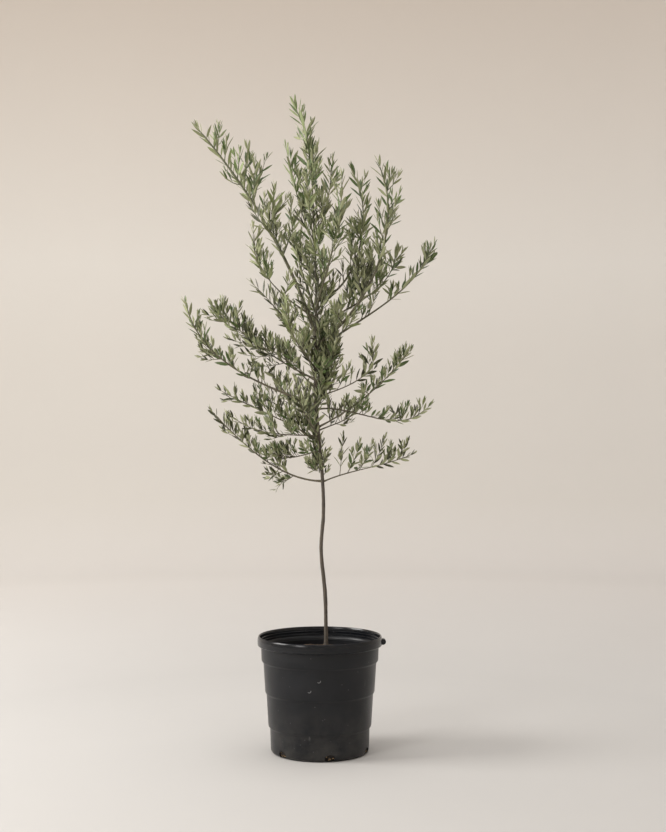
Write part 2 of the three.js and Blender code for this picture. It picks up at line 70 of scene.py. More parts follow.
SOIL_TOP = 284.0
SOIL_PROFILE = [(130.5, 4.3), (136.5, 14.0), (138.6, 71.0), (148.5, 167.0), (157.5, 256.0), (163.0, 279.0)]
SOIL_SIDES = 96
SOIL_RINGS = 22
SOIL_LUMPS = 14.0  # the size of each, and of the crumbs on them
SOIL_CRUMBS = 4.0
SOIL_ROUGHNESS = 5.0
SOIL_EVEN_EDGE = 4.0  # width of the soil's smooth edge
SOIL_SLACK = 0.5  # what lies less than this below that edge is still the top
CHIP_COUNT = 620
CHIP_REACH = 156.0  # from the pot's axis
CHIP_SINK = (2.0, 6.0)  # below the soil's top, at its middle and at its edge
CHIP_HEAP = 4.0  # how far chips lie over one another
CHIP_LENGTH = (5.0, 17.0)
CHIP_BIAS = 2  # above 1, most are short
CHIP_WIDTH = (0.16, 0.30)  # half of it, over the length
CHIP_THICKNESS = (0.05, 0.12)
CHIP_TIP = 28.0  # degrees from level
CHIP_CORNER = (0.6, 1.1)  # how unevenly its corners stand out
DRAIN_CHIPS = 9  # chips that show in each drain hole
DRAIN_CHIP_LENGTH = (5.0, 10.0)
DRAIN_CHIP_REACH = (131.0, 136.0)
DRAIN_CHIP_HEIGHT = (6.0, 18.0)
DRAIN_CHIP_FAN = 4.6  # degrees to either side of the hole's middle

SCUFF_ARCS = [(-1.5, 229.0), (-28.0, 201.0)]  # small marks on the pot's front, to the right and up
SCUFF_RADIUS = 4.6
SCUFF_WIDTH = 1.3
SCUFF_SIDE = (0.5, 0.0, -0.87)  # where the middle of each arc lies from its centre
SCUFF_STRENGTH = 0.8

# ---------------------------------------------------------------- trunk and limbs, in millimetres

TRUNK_SWAY = [  # height, right, back
    (276, 18.0, 0.0), (446, 15.0, 2.0), (577, 3.5, -2.0), (676, 10.0, 0.0),
    (757, 8.5, 3.0), (1040, -13.0, -2.0), (1289, -10.0, 3.0), (1574, -20.0, 0.0),
]
TRUNK_RADIUS = 5.6
TRUNK_TOP_RADIUS = 2.6
TRUNK_TAPER = 1.5
TRUNK_FLARE = 4.5
TRUNK_FLARE_HEIGHT = 12.0
TRUNK_STEP = 4.0
TRUNK_ROUNDNESS = 6
TRUNK_KNOTS = (26.0, 1.6)  # size of the swellings, and how far they stand out
TRUNK_GRAIN = (5.0, 0.7)

BOUGH_SLIMNESS = 95.0
THINNEST_BOUGH = 2.8
BOUGH_TAPER = 0.8
TIP_SHARE = 0.45
BOUGH_STEP = 6.0
BOUGH_ROUNDNESS = 3
COLLAR = 0.7  # how much wider a bough is where it leaves the trunk
COLLAR_LENGTH = 9.0
BOUGH_KNOTS = (15.0, 0.8)
BOUGH_GRAIN = (4.0, 0.35)

FRAME_LEAF_LENGTH = 62.0  # the leaves of the solids, which set how far each limb reaches
FIRST_SHOOT = 0.35  # spacings from a stem's foot to its first shoot
SHOOT_JITTER = 0.5  # spacings by which a shoot may stand further on
LEAST_TURN = 0.25  # of the spread, for the shoots nearest a stem's upper side
SHOOT_RANGE = (0.8, 1.2)  # shortest and longest over the planned length
SHOOT_SHARE = 0.6  # a shoot's root radius over its stem's
SHOOT_TIP_RADIUS = 0.55
SHOOT_ANGLE = 50.0  # degrees between a shoot's foot and its stem
SHOOT_SPREAD = 65.0  # degrees from the stem's upper side to the last side that bears shoots
LAST_SHOOT = 0.5  # length of the shoots at a stem's tip over those at its foot
LIGHT_SEEKING = 1.1  # how strongly a shoot turns up towards its tip

# name, height, bearing, reach, rise, leave, arrive, bare share, shoots, shoot length, finer shoots
BOUGHS = [
    ("left_lowest", 771, 178, 340, 222, 0, 46, 0.28, 5, 40, 12),
    ("right_lowest", 769, 4, 286, 88, 24, 20, 0.20, 5, 104, 1),
    ("spur_low", 812, -140, 72, 40, 10, 50, 0.00, 2, 20, 8),
    ("right_spur", 1050, -38, 72, 190, 48, 92, 0.00, 4, 40, 12),
    ("left_sprig", 857, 184, 178, 20, -8, 30, 0.45, 3, 30, 10),
    ("back_right_low", 915, 52, 252, 112, 16, 40, 0.25, 4, 38, 8),
    ("front_low", 904, -104, 268, 178, 18, 55, 0.20, 4, 40, 8),
    ("left_level", 900, 192, 275, 70, 4, 32, 0.15, 4, 30, 12),
    ("right_mid", 925, -9, 282, 243, 26, 52, 0.20, 5, 34, 5),
    ("left_low", 882, 170, 319, 164, 36, 28, 0.12, 5, 34, 12),
    ("back_low", 950, 116, 300, 135, 10, 45, 0.20, 4, 40, 8),
    ("right_low", 976, 8, 352, 28, 10, 38, 0.12, 5, 22, 8),
    ("left_mid", 990, 184, 380, 314, 18, 72, 0.15, 5, 40, 12),
    ("right_upright", 1012, -14, 160, 182, 14, 98, 0.35, 3, 26, 2),
    ("left_forked", 1036, 203, 250, 116, 42, 0, 0.45, 3, 34, 7),
    ("left_high", 1062, 174, 316, 232, 24, 44, 0.15, 7, 50, 21),
    ("front_mid", 1092, -108, 275, 205, 25, 62, 0.18, 5, 44, 10),
    ("back_mid", 1120, 74, 300, 225, 25, 60, 0.18, 5, 44, 10),
    ("upper_right", 1142, 11, 362, 336, 38, 63, 0.30, 4, 20, 3),
    ("right_high", 1160, -8, 174, 537, 30, 108, 0.24, 5, 80, 10),
    ("left_bare", 1176, 200, 208, 170, 8, 42, 0.35, 2, 20, 2),
    ("upper_left", 1186, 168, 370, 628, 72, 50, 0.28, 5, 112, 10),
    ("right_outer", 1205, 24, 266, 268, 38, 76, 0.28, 5, 80, 5),
    ("left_arching", 1238, -158, 190, 276, 25, 90, 0.50, 4, 44, 6),
    ("back_high", 1246, 112, 215, 380, 52, 84, 0.18, 4, 50, 10),
    ("front_high", 1266, -68, 195, 370, 54, 85, 0.18, 3, 50, 10),
    ("right_inner", 1288, 16, 94, 402, 10, 115, 0.15, 5, 48, 8),
    ("top_left", 1455, 163, 92, 296, 58, 76, 0.00, 4, 40, 4),
    ("top_front", 1440, -106, 78, 240, 56, 84, 0.00, 3, 40, 4),
    ("top_right", 1470, 35, 66, 250, 56, 84, 0.00, 3, 44, 1),
]
# name, height, bearing, right, back, then as above from leave on
LEADER = ("leader", 1871, 190, -85, -10, 88, 66, 0.00, 5, 38, 7)

# ---------------------------------------------------------------- finer twigs and leaves, in millimetres

FINE_SEED = 700
SPRAY_SEED = 98  # this and the next four are added to FINE_SEED
DEPTH_SEED = 97
DEPTH_SPRAY_SEED = 96
CHIP_SEED = 99
LEAF_SEED = 50

ONWARD = 34.0  # how far a stem runs on past the tip of its solid, towards the point of its last leaf
SHOOT_GROWTH = 0.22 * FRAME_LEAF_LENGTH  # the same for the solids' shoots
SHOOT_BARE = 0.12  # share of a shoot's length before its first leaf
STEM_LEAVES = 0.55  # share of a limb's length before its own leaves begin
STEM_TONE = 0.8  # share of a limb's length where its tone is chosen
LIMB_SHARE = 0.8  # thickness of a limb over that of its solid
TWIG_STEP = 12.0
TWIG_SIDES = 5
LEAST_TAPER = 0.2  # by which a twig's root is thicker than its tip

FINE_PLACE = (0.15, 0.85)  # where each finer shoot stands in its own stretch of a limb
FINE_START = 0.08  # share of a limb's length that bears none, at the least
FINE_REACH = 0.93  # share of a leafy stem that bears them
FINE_LENGTH = (0.45, 1.5)  # over the length of the solids' own shoots on that limb
FINE_LEAST_BASE = 34.0  # shorter shoots of the solids count as this long
FINE_BIAS = 1.4  # above 1, most are short
FINE_TAPER = (1.1, 0.7)  # their length at a limb's foot and at its tip
FINE_SIDE = (0.05, 1.2)  # how far round the limb, in parts of the spread
FINE_ANGLE = (30.0, 68.0)
FINE_LIGHT = (-0.1, 1.5)
FINE_BARE = (0.05, 0.25)
FINE_SHARE = 0.5  # root radius over the limb's
UNDER_SHARE = 0.16  # how many of them stand on a limb's lower side
UNDER_TURN = 1.2

TWIGLET_LENGTH = (14.0, 32.0)
TWIGLET_PLACE = (0.3, 0.6)
TWIGLET_SIDE = 1.4
TWIGLET_BARE = 0.1
TWIGLET_RADIUS = 0.8
FORKED_SHOOT = 45.0  # the solids' shoots over this length have a twiglet
FORKED_FINE = 40.0  # the same for the finer shoots
FORKED_SHARE = 0.6  # how many of those do

TRUNK_RUNS = [  # shoots, lowest and highest, shortest and longest, how many change to the trunk's right
    (46, 785.0, 985.0, 32.0, 86.0, 0.0),
    (28, 975.0, 1100.0, 55.0, 105.0, 1.0),
    (62, 1010.0, 1310.0, 40.0, 118.0, 0.5),
    (24, 1310.0, 1545.0, 35.0, 90.0, 0.1),
]
TRUNK_TURN = 137.5  # degrees from one shoot of the trunk to the next
TRUNK_TURN_MORE = 30.0
TRUNK_SLOPE = (20.0, 64.0)
TRUNK_RISE = (0.4, 1.2)
TRUNK_BARE = 0.15
TRUNK_SHOOT_RADIUS = 1.5
TRUNK_TONE_LIFT = 60.0  # a shoot's tone is chosen this much above its foot
OPEN_BAND = (865.0, 972.0)  # between these heights no shoots stand on the trunk's right
OPEN_SIDE = -0.1  # what heads further to the right than this changes to the left there
OPEN_SHIFT = 0.2
OPEN_FRONT = -0.5  # no shoot of the trunk heads further to the front than this
LOW_RIGHT_SHARE = 0.5  # length of the shoots on the right below the open band

SPRAY_RISE = (0.1, 0.6)
SPRAY_BARE = 0.15
DEPTH_COUNT = 2  # sprays that each limb sends to the front and back
DEPTH_SHARE = (0.14, 0.90)
DEPTH_FAN = 28.0  # degrees to either side of straight to the front or back
DEPTH_LENGTH = (84.0, 132.0)
DEPTH_TAPER = (1.0, 0.6)
DEPTH_SLOPE = (0.0, 34.0)
FACING_REACH = 150.0  # a limb that reaches this far to the front or back sends them upwards
FACING_SLOPE = (35.0, 80.0)

CROWN_FOOT = 760.0
CROWN_HEIGHT = 900.0
LEAF_PAIR_STEP = (12.6, 15.5)  # low in the crown and at its top
LEAF_STEP_RANGE = (0.75, 1.3)
FIRST_PAIR = 7.0  # back from a twig's tip
PAIR_TURN = 0.3  # radians by which a pair may be turned further or less
LEAF_CHANCE = 0.92
LEAF_LENGTH = (32.0, 50.0)
LEAF_LENGTH_RANGE = (0.78, 1.2)
LEAF_SLIMNESS = (0.25, 0.160)  # width over length
LEAF_WIDTH_RANGE = (0.85, 1.15)
LEAF_ANGLE = (20.0, 48.0)  # at a twig's tip and further back
LEAF_SWING = 12.0
LEAF_RISE = 0.45
LEAF_TWIST = 80.0
LEAF_BEND = (-0.14, 0.07)  # how far its tip hangs or lifts, over its length
LEAF_FOLD = 0.22
LEAF_THICKNESS = 0.55
TIP_LEAF_SHARE = 0.55  # length of the youngest leaves over that of the full-grown
YOUNG_REACH = 45.0  # how far back from a tip the leaves are still growing
LEAF_STATIONS = [(0.0, 0.09), (0.10, 0.30), (0.30, 0.88), (0.56, 1.0), (0.82, 0.60)]  # share, width

TONE_LIMITS = {"shaded": 0.32, "mature": 0.78, "pale": 1.02, "young": math.inf}
TONE_MIDDLE = 1300.0  # height where the limits hold as they stand
TONE_LIFT = 0.35 / 500.0  # how fast sprays turn paler with height

# single sprays that stand out, by limb: share of its length, bearing, slope and length
SINGLE_SPRAYS = [
    ("left_lowest", [(0.24, 196, -42, 52), (0.29, 168, -62, 58), (0.33, 205, -28, 56),
                     (0.37, 150, -52, 46), (0.27, 185, 38, 44), (0.35, 176, 62, 46)]),
    ("left_mid", [(0.20, 181, 52, 110), (0.74, 200, 30, 50), (0.70, 160, 8, 46)]),
    ("left_high", [(0.30, 190, -14, 90), (0.42, 172, -8, 84), (0.58, 184, 4, 84), (0.72, 180, 22, 70),
                   (0.92, 186, 66, 56), (0.88, 196, 30, 56)]),
    ("left_low", [(0.30, 176, 66, 80), (0.40, 184, 74, 84), (0.48, 176, 70, 84), (0.55, 186, 66, 84),
                  (0.63, 172, 68, 72)]),
    ("left_level", [(0.30, 186, 58, 64), (0.18, 172, 64, 76), (0.44, 190, -24, 44), (0.50, 176, 56, 60)]),
    ("left_forked", [(0.25, 190, 66, 66)]),
    ("left_sprig", [(0.80, 180, 40, 44), (0.95, 196, -10, 44)]),
    ("upper_left", [(0.46, 90, 84, 120), (0.64, 300, 80, 112), (0.71, 60, 80, 124)]),
    ("right_high", [(0.20, -14, 24, 50), (0.40, 170, 78, 100), (0.48, 160, 76, 90)]),
    ("right_outer", [(0.30, 16, 20, 52), (0.36, -10, 84, 96), (0.42, 60, 84, 120),
                     (0.52, 100, 86, 120), (0.60, -60, 86, 110)]),
    ("right_lowest", [(0.22, 8, 84, 112)]),
    ("right_inner", [(0.34, 90, 84, 100), (0.44, 200, 80, 96), (0.52, 0, 80, 84)]),
    ("front_high", [(0.50, -60, 80, 80), (0.62, 30, 78, 70)]),
    ("upper_right", [(0.14, 4, 76, 84)]),
    ("leader", [(0.30, 20, 76, 84), (0.40, 150, 78, 80)]),
    ("upper_right", [(0.90, 20, 35, 44)]),
    ("leader", [(0.22, 200, 76, 90)]),
    ("upper_right", [(0.95, 0, 70, 44)]),
    ("right_mid", [(0.84, -30, 60, 50), (0.90, -9, 70, 50), (0.96, 20, 40, 40)]),
    ("right_low", [(0.96, 8, 60, 40)]),
    ("upper_right", [(0.42, -10, 66, 60)]),
    ("right_upright", [(0.62, -14, 30, 48)]),
    ("right_low", [(0.80, 20, 60, 44)]),
    ("left_high", [(0.96, 184, 2, 50), (0.90, 190, -8, 54), (0.98, 174, 30, 46)]),
    ("left_mid", [(0.66, 196, -12, 44), (0.72, 170, -36, 38), (0.68, 184, 12, 40)]),
]

# ---------------------------------------------------------------- colours

BLACK = (0.0, 0.0, 0.0)
WHITE = (1.0, 1.0, 1.0)
PLASTIC = [(0.0026, 0.0033, 0.0048), (0.0074, 0.0082, 0.0106)]
DUST = (0.10, 0.093, 0.082, 1)
MOULD_MARK = (0.12, 0.12, 0.12, 1)
SPECK = (0.13, 0.13, 0.135, 1)
SCUFF = (0.30, 0.30, 0.30, 1)
PORE = (0.24, 0.21, 0.17, 1)
SPECKS = (42.0, 0.08, 0.04, 0.4)  # how close, how far out they end and are full, and how strong
PORES = (330.0, 0.22, 0.1, 0.5)
MOULD_MARKS = (0.70, 0.76, 0.0, 0.35)  # none up to the first height of the noise, full from the next
DUST_STRENGTH = 0.3
DUST_HEIGHTS = (0.16, 0.0)  # these four are in metres, from none of it to all
GLOSSY_RIM = (0.302, 0.308)
SOIL_BODY = (0.02, 0.12)
YOUNG_WOOD = (1.05, 1.6)
SOIL = [(0.028, 0.018, 0.011), (0.085, 0.055, 0.033), (0.012, 0.008, 0.006)]  # two, and a painted shade for its foot, in the drain holes and under the soil
CHIPS = [(0.05, 0.032, 0.02), (0.15, 0.10, 0.062), (0.24, 0.165, 0.09)]
# two colours, one high up on the tree, and the roughness
OLD_BARK = ((0.036, 0.029, 0.022), (0.105, 0.085, 0.064), (0.085, 0.088, 0.052), 0.75)
BOUGH_BARK = ((0.070, 0.060, 0.040), (0.150, 0.130, 0.085), (0.105, 0.112, 0.060), 0.75)
TWIG_BARK = ((0.07, 0.06, 0.042), (0.15, 0.135, 0.09), (0.13, 0.15, 0.085), 0.7)
LEAF_TONES = {  # two colours and the roughness of each
    "shaded": ((0.040, 0.045, 0.017), (0.065, 0.070, 0.027), 0.4, 0.55),
    "mature": ((0.070, 0.106, 0.032), (0.106, 0.153, 0.049), 0.4, 0.55),
    "pale": ((0.158, 0.185, 0.068), (0.206, 0.236, 0.094), 0.45, 0.6),
    "young": ((0.118, 0.170, 0.048), (0.158, 0.220, 0.072), 0.4, 0.55),
}
UNDERSIDE = ((0.240, 0.257, 0.138), (0.316, 0.334, 0.192), 0.65, 0.8)
YOUNG_UNDERSIDE = ((0.240, 0.285, 0.135), (0.310, 0.355, 0.190), 0.6, 0.75)

# ---------------------------------------------------------------- stage, camera and lights

STAGE_SIDES = 96
STAGE_FOOT = 1000.0  # radius of the first ring of the floor, in millimetres like the rest of it
STAGE_FLAT = [3000.0, 4600.0]
STAGE_BEND = 1400.0
STAGE_BEND_STEPS = 12
STAGE_HEIGHT = 6000.0
# the paper's colours paint in light and shade: painted shade on the floor near the pot, low and high on the
# wall and to the right
FLOOR = [(0.51, 0.495, 0.478), (0.525, 0.51, 0.493)]
FAR_FLOOR = (0.77, 0.74, 0.71, 1)
LOW_WALL = [(0.725, 0.693, 0.648), (0.738, 0.706, 0.661)]
WALL = (0.80, 0.77, 0.725, 1)
HIGH_WALL_PAINTED_SHADE = (0.69, 0.62, 0.55, 1)
RIGHT_PAINTED_SHADE = (0.885, 0.885, 0.89, 1)

SENSOR = 36.0
FOCAL_LENGTH = 61.7
CAMERA_PLACE = (0.0374, -4.071, 0.957)  # this and the lights' places and sizes are in metres
LIGHTS = [  # name, place, what it faces, size, power and colour
    ("key", (-4.0, -0.5, 2.5), (0.0, 0.0, 0.8), (2.0, 2.0), 165.0, (1.0, 0.985, 0.96)),
    ("front", (-2.6, -3.4, 2.3), (0.0, 0.0, 0.8), (1.3, 1.6), 60.0, (1.0, 0.99, 0.98)),
    ("top", (0.0, 0.6, 5.0), (0.0, 0.0, 0.0), (4.5, 4.5), 70.0, (1.0, 0.99, 0.98)),
]
ROOM_COLOUR = (1.0, 0.985, 0.965, 1)
ROOM_LIGHT = 0.80


# ---------------------------------------------------------------- growth

def seeded_random(seed):
    """A repeatable stream of numbers from 0 to 1, the same as the solids grow by."""
    mask = 0xFFFFFFFF
    state = seed & mask

    def draw():
        nonlocal state
        state = (state + 0x6D2B79F5) & mask
        mixed = ((state ^ (state >> 15)) * (state | 1)) & mask
        mixed ^= (mixed + (((mixed ^ (mixed >> 7)) * (mixed | 61)) & mask)) & mask
        return ((mixed ^ (mixed >> 14)) & mask) / 4294967296

    return draw


def lerp(low, high, share):
    return low + (high - low) * share


def between(pair, random):
    """A value between two, by chance."""
    return lerp(pair[0], pair[1], random())


def heading(bearing, slope):
    """The unit vector of a bearing and a slope, both in degrees."""
    flat = math.cos(math.radians(slope))
    x = flat * math.cos(math.radians(bearing))
    y = flat * math.sin(math.radians(bearing))
    return Vector((x, y, math.sin(math.radians(slope))))


class Curve:
    """A curve in space that is read by share of its length. `level` is an axis that stays level."""

    SAMPLES = 200

    def __init__(self, point_at, level):
        self.level = level
        self.points = [point_at(i / self.SAMPLES) for i in range(self.SAMPLES + 1)]
        self.reached = [0.0]
        for a, b in zip(self.points, self.points[1:]):
            self.reached.append(self.reached[-1] + (b - a).length)
        self.length = self.reached[-1]

    def at(self, share):
        target = min(max(share, 0.0), 1.0) * self.length
        i = min(max(bisect.bisect_right(self.reached, target), 1), self.SAMPLES)
        start, end = self.reached[i - 1], self.reached[i]
        return self.points[i - 1].lerp(self.points[i], (target - start) / (end - start))

    def axes(self, share):
        """The direction of growth and two axes square to it."""
        nudge = 0.01
        along = (self.at(share + nudge) - self.at(share - nudge)).normalized()
        across = (self.level - along * self.level.dot(along)).normalized()
        return along, across, across.cross(along)


def swayed_curve(points):
    """A centripetal Catmull-Rom curve through the points."""
    first = points[0] * 2 - points[1]
    last = points[-1] * 2 - points[-2]
    chain = [first, *points, last]

    def point_at(t):
        place = t * (len(points) - 1)
        i = min(int(place), len(points) - 2)
        w = place - i
        p0, p1, p2, p3 = chain[i:i + 4]
        d0, d1, d2 = [math.sqrt((b - a).length) for a, b in ((p0, p1), (p1, p2), (p2, p3))]
        t1 = ((p1 - p0) / d0 - (p2 - p0) / (d0 + d1) + (p2 - p1) / d1) * d1
        t2 = ((p2 - p1) / d1 - (p3 - p1) / (d1 + d2) + (p3 - p2) / d2) * d1
        return p1 + t1 * w + (p2 * 3 - p1 * 3 - t1 * 2 - t2) * w ** 2 + (p1 * 2 - p2 * 2 + t1 + t2) * w ** 3

    return Curve(point_at, Vector((0.0, 1.0, 0.0)))


def arched_curve(start, end, leave, arrive):
    """A curve in one upright plane, between two points, with its slopes at both ends."""
    bearing = math.degrees(math.atan2(end.y - start.y, end.x - start.x))
    handle = (end - start).length / 3
    first = start + heading(bearing, leave) * handle
    second = end - heading(bearing, arrive) * handle

    def point_at(t):
        s = 1 - t
        return start * s ** 3 + first * (3 * s * s * t) + second * (3 * s * t * t) + end * t ** 3

    return Curve(point_at, heading(bearing + 90, 0))


def bent_curve(start, bend, end, level):
    """A curve that leaves its start towards the bend and reaches its end from there."""
    def point_at(t):
        s = 1 - t
        return start * s * s + bend * (2 * s * t) + end * t * t

    return Curve(point_at, level)


TRUNK = swayed_curve([Vector((right, back, height)) for height, right, back in TRUNK_SWAY])


def trunk_share(height):
    """How far along the trunk a height lies."""
    low, high = 0.0, 1.0
    closest = 1e-5
    while high - low > closest:
        middle = (low + high) / 2
        if TRUNK.at(middle).z < height:
            low = middle
        else:
            high = middle
    return low


def trunk_radius(share):
    above = max(0.0, TRUNK.at(share).z - SOIL_TOP)
    flare = TRUNK_FLARE * math.exp(-above / TRUNK_FLARE_HEIGHT)
    return lerp(TRUNK_RADIUS, TRUNK_TOP_RADIUS, share ** TRUNK_TAPER) + flare


@dataclass
class Limb:
    """A bough with the stem that carries it on, and what grows from it."""

    name: str
    curve: Curve
    bare: float
    shoots: int
    shoot_length: float
    finer: int
    radius_at: Callable


def bough_limb(name, height, bearing, reach, rise, leave, arrive, bare, shoots, shoot_length, finer):
    root = TRUNK.at(trunk_share(height))
    last_point = root + heading(bearing, 0) * reach + UP * rise
    tip = last_point - heading(bearing, arrive) * FRAME_LEAF_LENGTH
    curve = arched_curve(root, tip, leave, arrive)
    root_radius = max(THINNEST_BOUGH, curve.length / BOUGH_SLIMNESS)

    def radius_at(share):
        return root_radius * lerp(1.0, TIP_SHARE, share ** BOUGH_TAPER)

    return Limb(name, curve, bare, shoots, shoot_length, finer, radius_at)


def leader_limb():
    name, height, bearing, right, back, leave, arrive, bare, shoots, shoot_length, finer = LEADER
    tip = Vector((right, back, height)) - heading(bearing, arrive) * FRAME_LEAF_LENGTH
    curve = arched_curve(TRUNK.at(1.0), tip, leave, arrive)

    def radius_at(share):
        return lerp(TRUNK_TOP_RADIUS, THINNEST_BOUGH * TIP_SHARE, share)

    return Limb(name, curve, bare, shoots, shoot_length, finer, radius_at)


LIMBS = [bough_limb(*row) for row in BOUGHS] + [leader_limb()]


@dataclass
class Twig:
    """A leafy twig: its curve, where its leaves begin, its thickness and the tone of its spray."""

    curve: Curve
    first_leaf: float
    root_radius: float
    tone: str
    drawn: bool = True


def rising_curve(foot, out, length, rise, level):
    """A curve that heads out from its foot and then turns up."""
    end = (out + UP * rise).normalized()
    bend = foot + out * (length / 2)
    return bent_curve(foot, bend, bend + end * (length / 2), level)


def shoot_curve(curve, share, side, length, angle=SHOOT_ANGLE, light=LIGHT_SEEKING):
    """A shoot that leaves its limb at an angle and turns up towards the light."""
    along, across, beside = curve.axes(share)
    upper = -beside if beside.z < 0 else beside
    roll = math.radians(side * SHOOT_SPREAD)
    away = upper * math.cos(roll) + across * math.sin(roll)
    out = along * math.cos(math.radians(angle)) + away * math.sin(math.radians(angle))
    return rising_curve(curve.at(share), out, length, light, across)


def shoot_plan(limb, random):
    """Where the solids' shoots stand on a limb, the side each takes and its length."""
    plan = []
    for i in range(limb.shoots):
        along = (i + FIRST_SHOOT + SHOOT_JITTER * random()) / limb.shoots
        side = (1 if i % 2 else -1) * lerp(LEAST_TURN, 1.0, random())
        length = limb.shoot_length * lerp(1.0, LAST_SHOOT, along) * between(SHOOT_RANGE, random)
        plan.append((lerp(limb.bare, 1.0, along), side, length))
    return plan


def spray_tone(height, random):
    """Sprays are more often dark low in the crown, and pale or fresh green towards its top."""
    chance = random() + TONE_LIFT * (height - TONE_MIDDLE)
    return next(tone for tone, limit in TONE_LIMITS.items() if chance < limit)


def twiglet_of(curve, tone, random):
    """A short side twig on a shoot, of the same tone."""
    twiglet = shoot_curve(curve, between(TWIGLET_PLACE, random), lerp(-TWIGLET_SIDE, TWIGLET_SIDE, random()),
                          between(TWIGLET_LENGTH, random))
    return Twig(twiglet, TWIGLET_BARE, TWIGLET_RADIUS, tone)


def fine_shoots(limb, random):
    """Finer shoots between those of the solids, the longer ones with a twiglet of their own."""
    twigs = []
    for i in range(limb.finer):
        along = FINE_REACH * (i + between(FINE_PLACE, random)) / limb.finer
        share = lerp(max(limb.bare, FINE_START), 1.0, along)
        side = (-1 if i % 2 else 1) * between(FINE_SIDE, random)
        if random() < UNDER_SHARE:
            side += math.copysign(UNDER_TURN, side)
        base = max(limb.shoot_length, FINE_LEAST_BASE)
        length = base * lerp(*FINE_LENGTH, random() ** FINE_BIAS) * lerp(*FINE_TAPER, along)
        curve = shoot_curve(limb.curve, share, side, length, between(FINE_ANGLE, random),
                            between(FINE_LIGHT, random))
        tone = spray_tone(curve.at(1.0).z, random)
        twigs.append(Twig(curve, between(FINE_BARE, random), limb.radius_at(share) * FINE_SHARE, tone))
        if length > FORKED_FINE and random() < FORKED_SHARE:
            twigs.append(twiglet_of(curve, tone, random))
    return twigs


def onward_twig(limb, tone):
    """What carries a stem on to the furthest leaves."""
    tip = limb.curve.at(1.0)
    along, across, _ = limb.curve.axes(1.0)
    curve = bent_curve(tip - along, tip + along * (ONWARD / 2), tip + along * ONWARD, across)
    return Twig(curve, 0.0, limb.radius_at(1.0), tone)


def mass_of_twigs(limb, seed):
    """All leafy twigs of one limb: its own stem, the solids' shoots and the finer ones."""
    random = seeded_random(seed)
    plan = shoot_plan(limb, random)
    fine = seeded_random(FINE_SEED + seed)
    stem_tone = spray_tone(limb.curve.at(STEM_TONE).z, fine)
    twigs = [Twig(limb.curve, STEM_LEAVES, 0.0, stem_tone, drawn=False), onward_twig(limb, stem_tone)]
    for share, side, length in plan:
        grown = length + SHOOT_GROWTH
        curve = shoot_curve(limb.curve, share, side, grown)
        tone = spray_tone(curve.at(1.0).z, fine)
        twigs.append(Twig(curve, SHOOT_BARE, limb.radius_at(share) * SHOOT_SHARE, tone))
        if grown > FORKED_SHOOT:
            twigs.append(twiglet_of(curve, tone, fine))
    return twigs + fine_shoots(limb, fine)


def depth_sprays():
    """More rows for single_sprays(), which fill the crown out to its front and back."""
    random = seeded_random(FINE_SEED + DEPTH_SEED)
    sprays = []
    for limb in LIMBS:
        rows = []
        facing = abs(limb.curve.at(1.0).y) > FACING_REACH
        slopes = FACING_SLOPE if facing else DEPTH_SLOPE
        for i in range(DEPTH_COUNT):
            share = lerp(*DEPTH_SHARE, (i + random()) / DEPTH_COUNT)
            bearing = (90.0 if i % 2 else -90.0) + DEPTH_FAN * lerp(-1.0, 1.0, random())
            length = between(DEPTH_LENGTH, random) * lerp(*DEPTH_TAPER, share)
            rows.append((share, bearing, between(slopes, random), length))
        sprays.append((limb.name, rows))
    return sprays


def single_sprays(sprays, random):
    """Sprays that stand out from their limb, each with its own heading."""
    limbs = {limb.name: limb for limb in LIMBS}
    twigs = []
    for name, rows in sprays:
        limb = limbs[name]
        for share, bearing, slope, length in rows:
            curve = rising_curve(limb.curve.at(share), heading(bearing, slope), length,
                                 between(SPRAY_RISE, random), heading(bearing + 90, 0))
            tone = spray_tone(curve.at(1.0).z, random)
            twigs.append(Twig(curve, SPRAY_BARE, limb.radius_at(share) * FINE_SHARE, tone))
            twigs.append(twiglet_of(curve, tone, random))
    return twigs


def trunk_shoot(turn, height, length, changed, random):
    """One shoot of the trunk, or none where the crown is open to the front."""
    out = heading(turn + TRUNK_TURN_MORE * random(), between(TRUNK_SLOPE, random))
    length = between(length, random)
    if out.x < 0 and random() < changed:
        out.x = -out.x
    if out.x > OPEN_SIDE and OPEN_BAND[0] < height < OPEN_BAND[1]:
        out.x = -out.x - OPEN_SHIFT
        out.normalize()
    if out.x > 0 and height < OPEN_BAND[0]:
        length *= LOW_RIGHT_SHARE
    rise = between(TRUNK_RISE, random)
    tone = spray_tone(height + TRUNK_TONE_LIFT, random)
    if out.y < OPEN_FRONT:
        return []
    foot = TRUNK.at(trunk_share(height))
    curve = rising_curve(foot, out, length, rise, heading(turn + 90.0, 0))
    return [Twig(curve, TRUNK_BARE, TRUNK_SHOOT_RADIUS, tone)]


def trunk_twigs():
    """Short shoots that turn up round the trunk's upper part."""
    random = seeded_random(FINE_SEED)
    twigs = []
    for count, low, high, shortest, longest, changed in TRUNK_RUNS:
        for i in range(count):
            height = lerp(low, high, (i + random()) / count)
            twigs += trunk_shoot(i * TRUNK_TURN, height, (shortest, longest), changed, random)
    return twigs


def crown_share(height):
    """0 at the lowest leaves and 1 at the top of the tree."""
    return min(max((height - CROWN_FOOT) / CROWN_HEIGHT, 0.0), 1.0)


@dataclass
class Leaf:
    """A leaf's place, direction, the way its width runs, and its form and tone."""

    root: Vector
    direction: Vector
    side: Vector
    length: float
    width: float
    bend: float
    tone: str


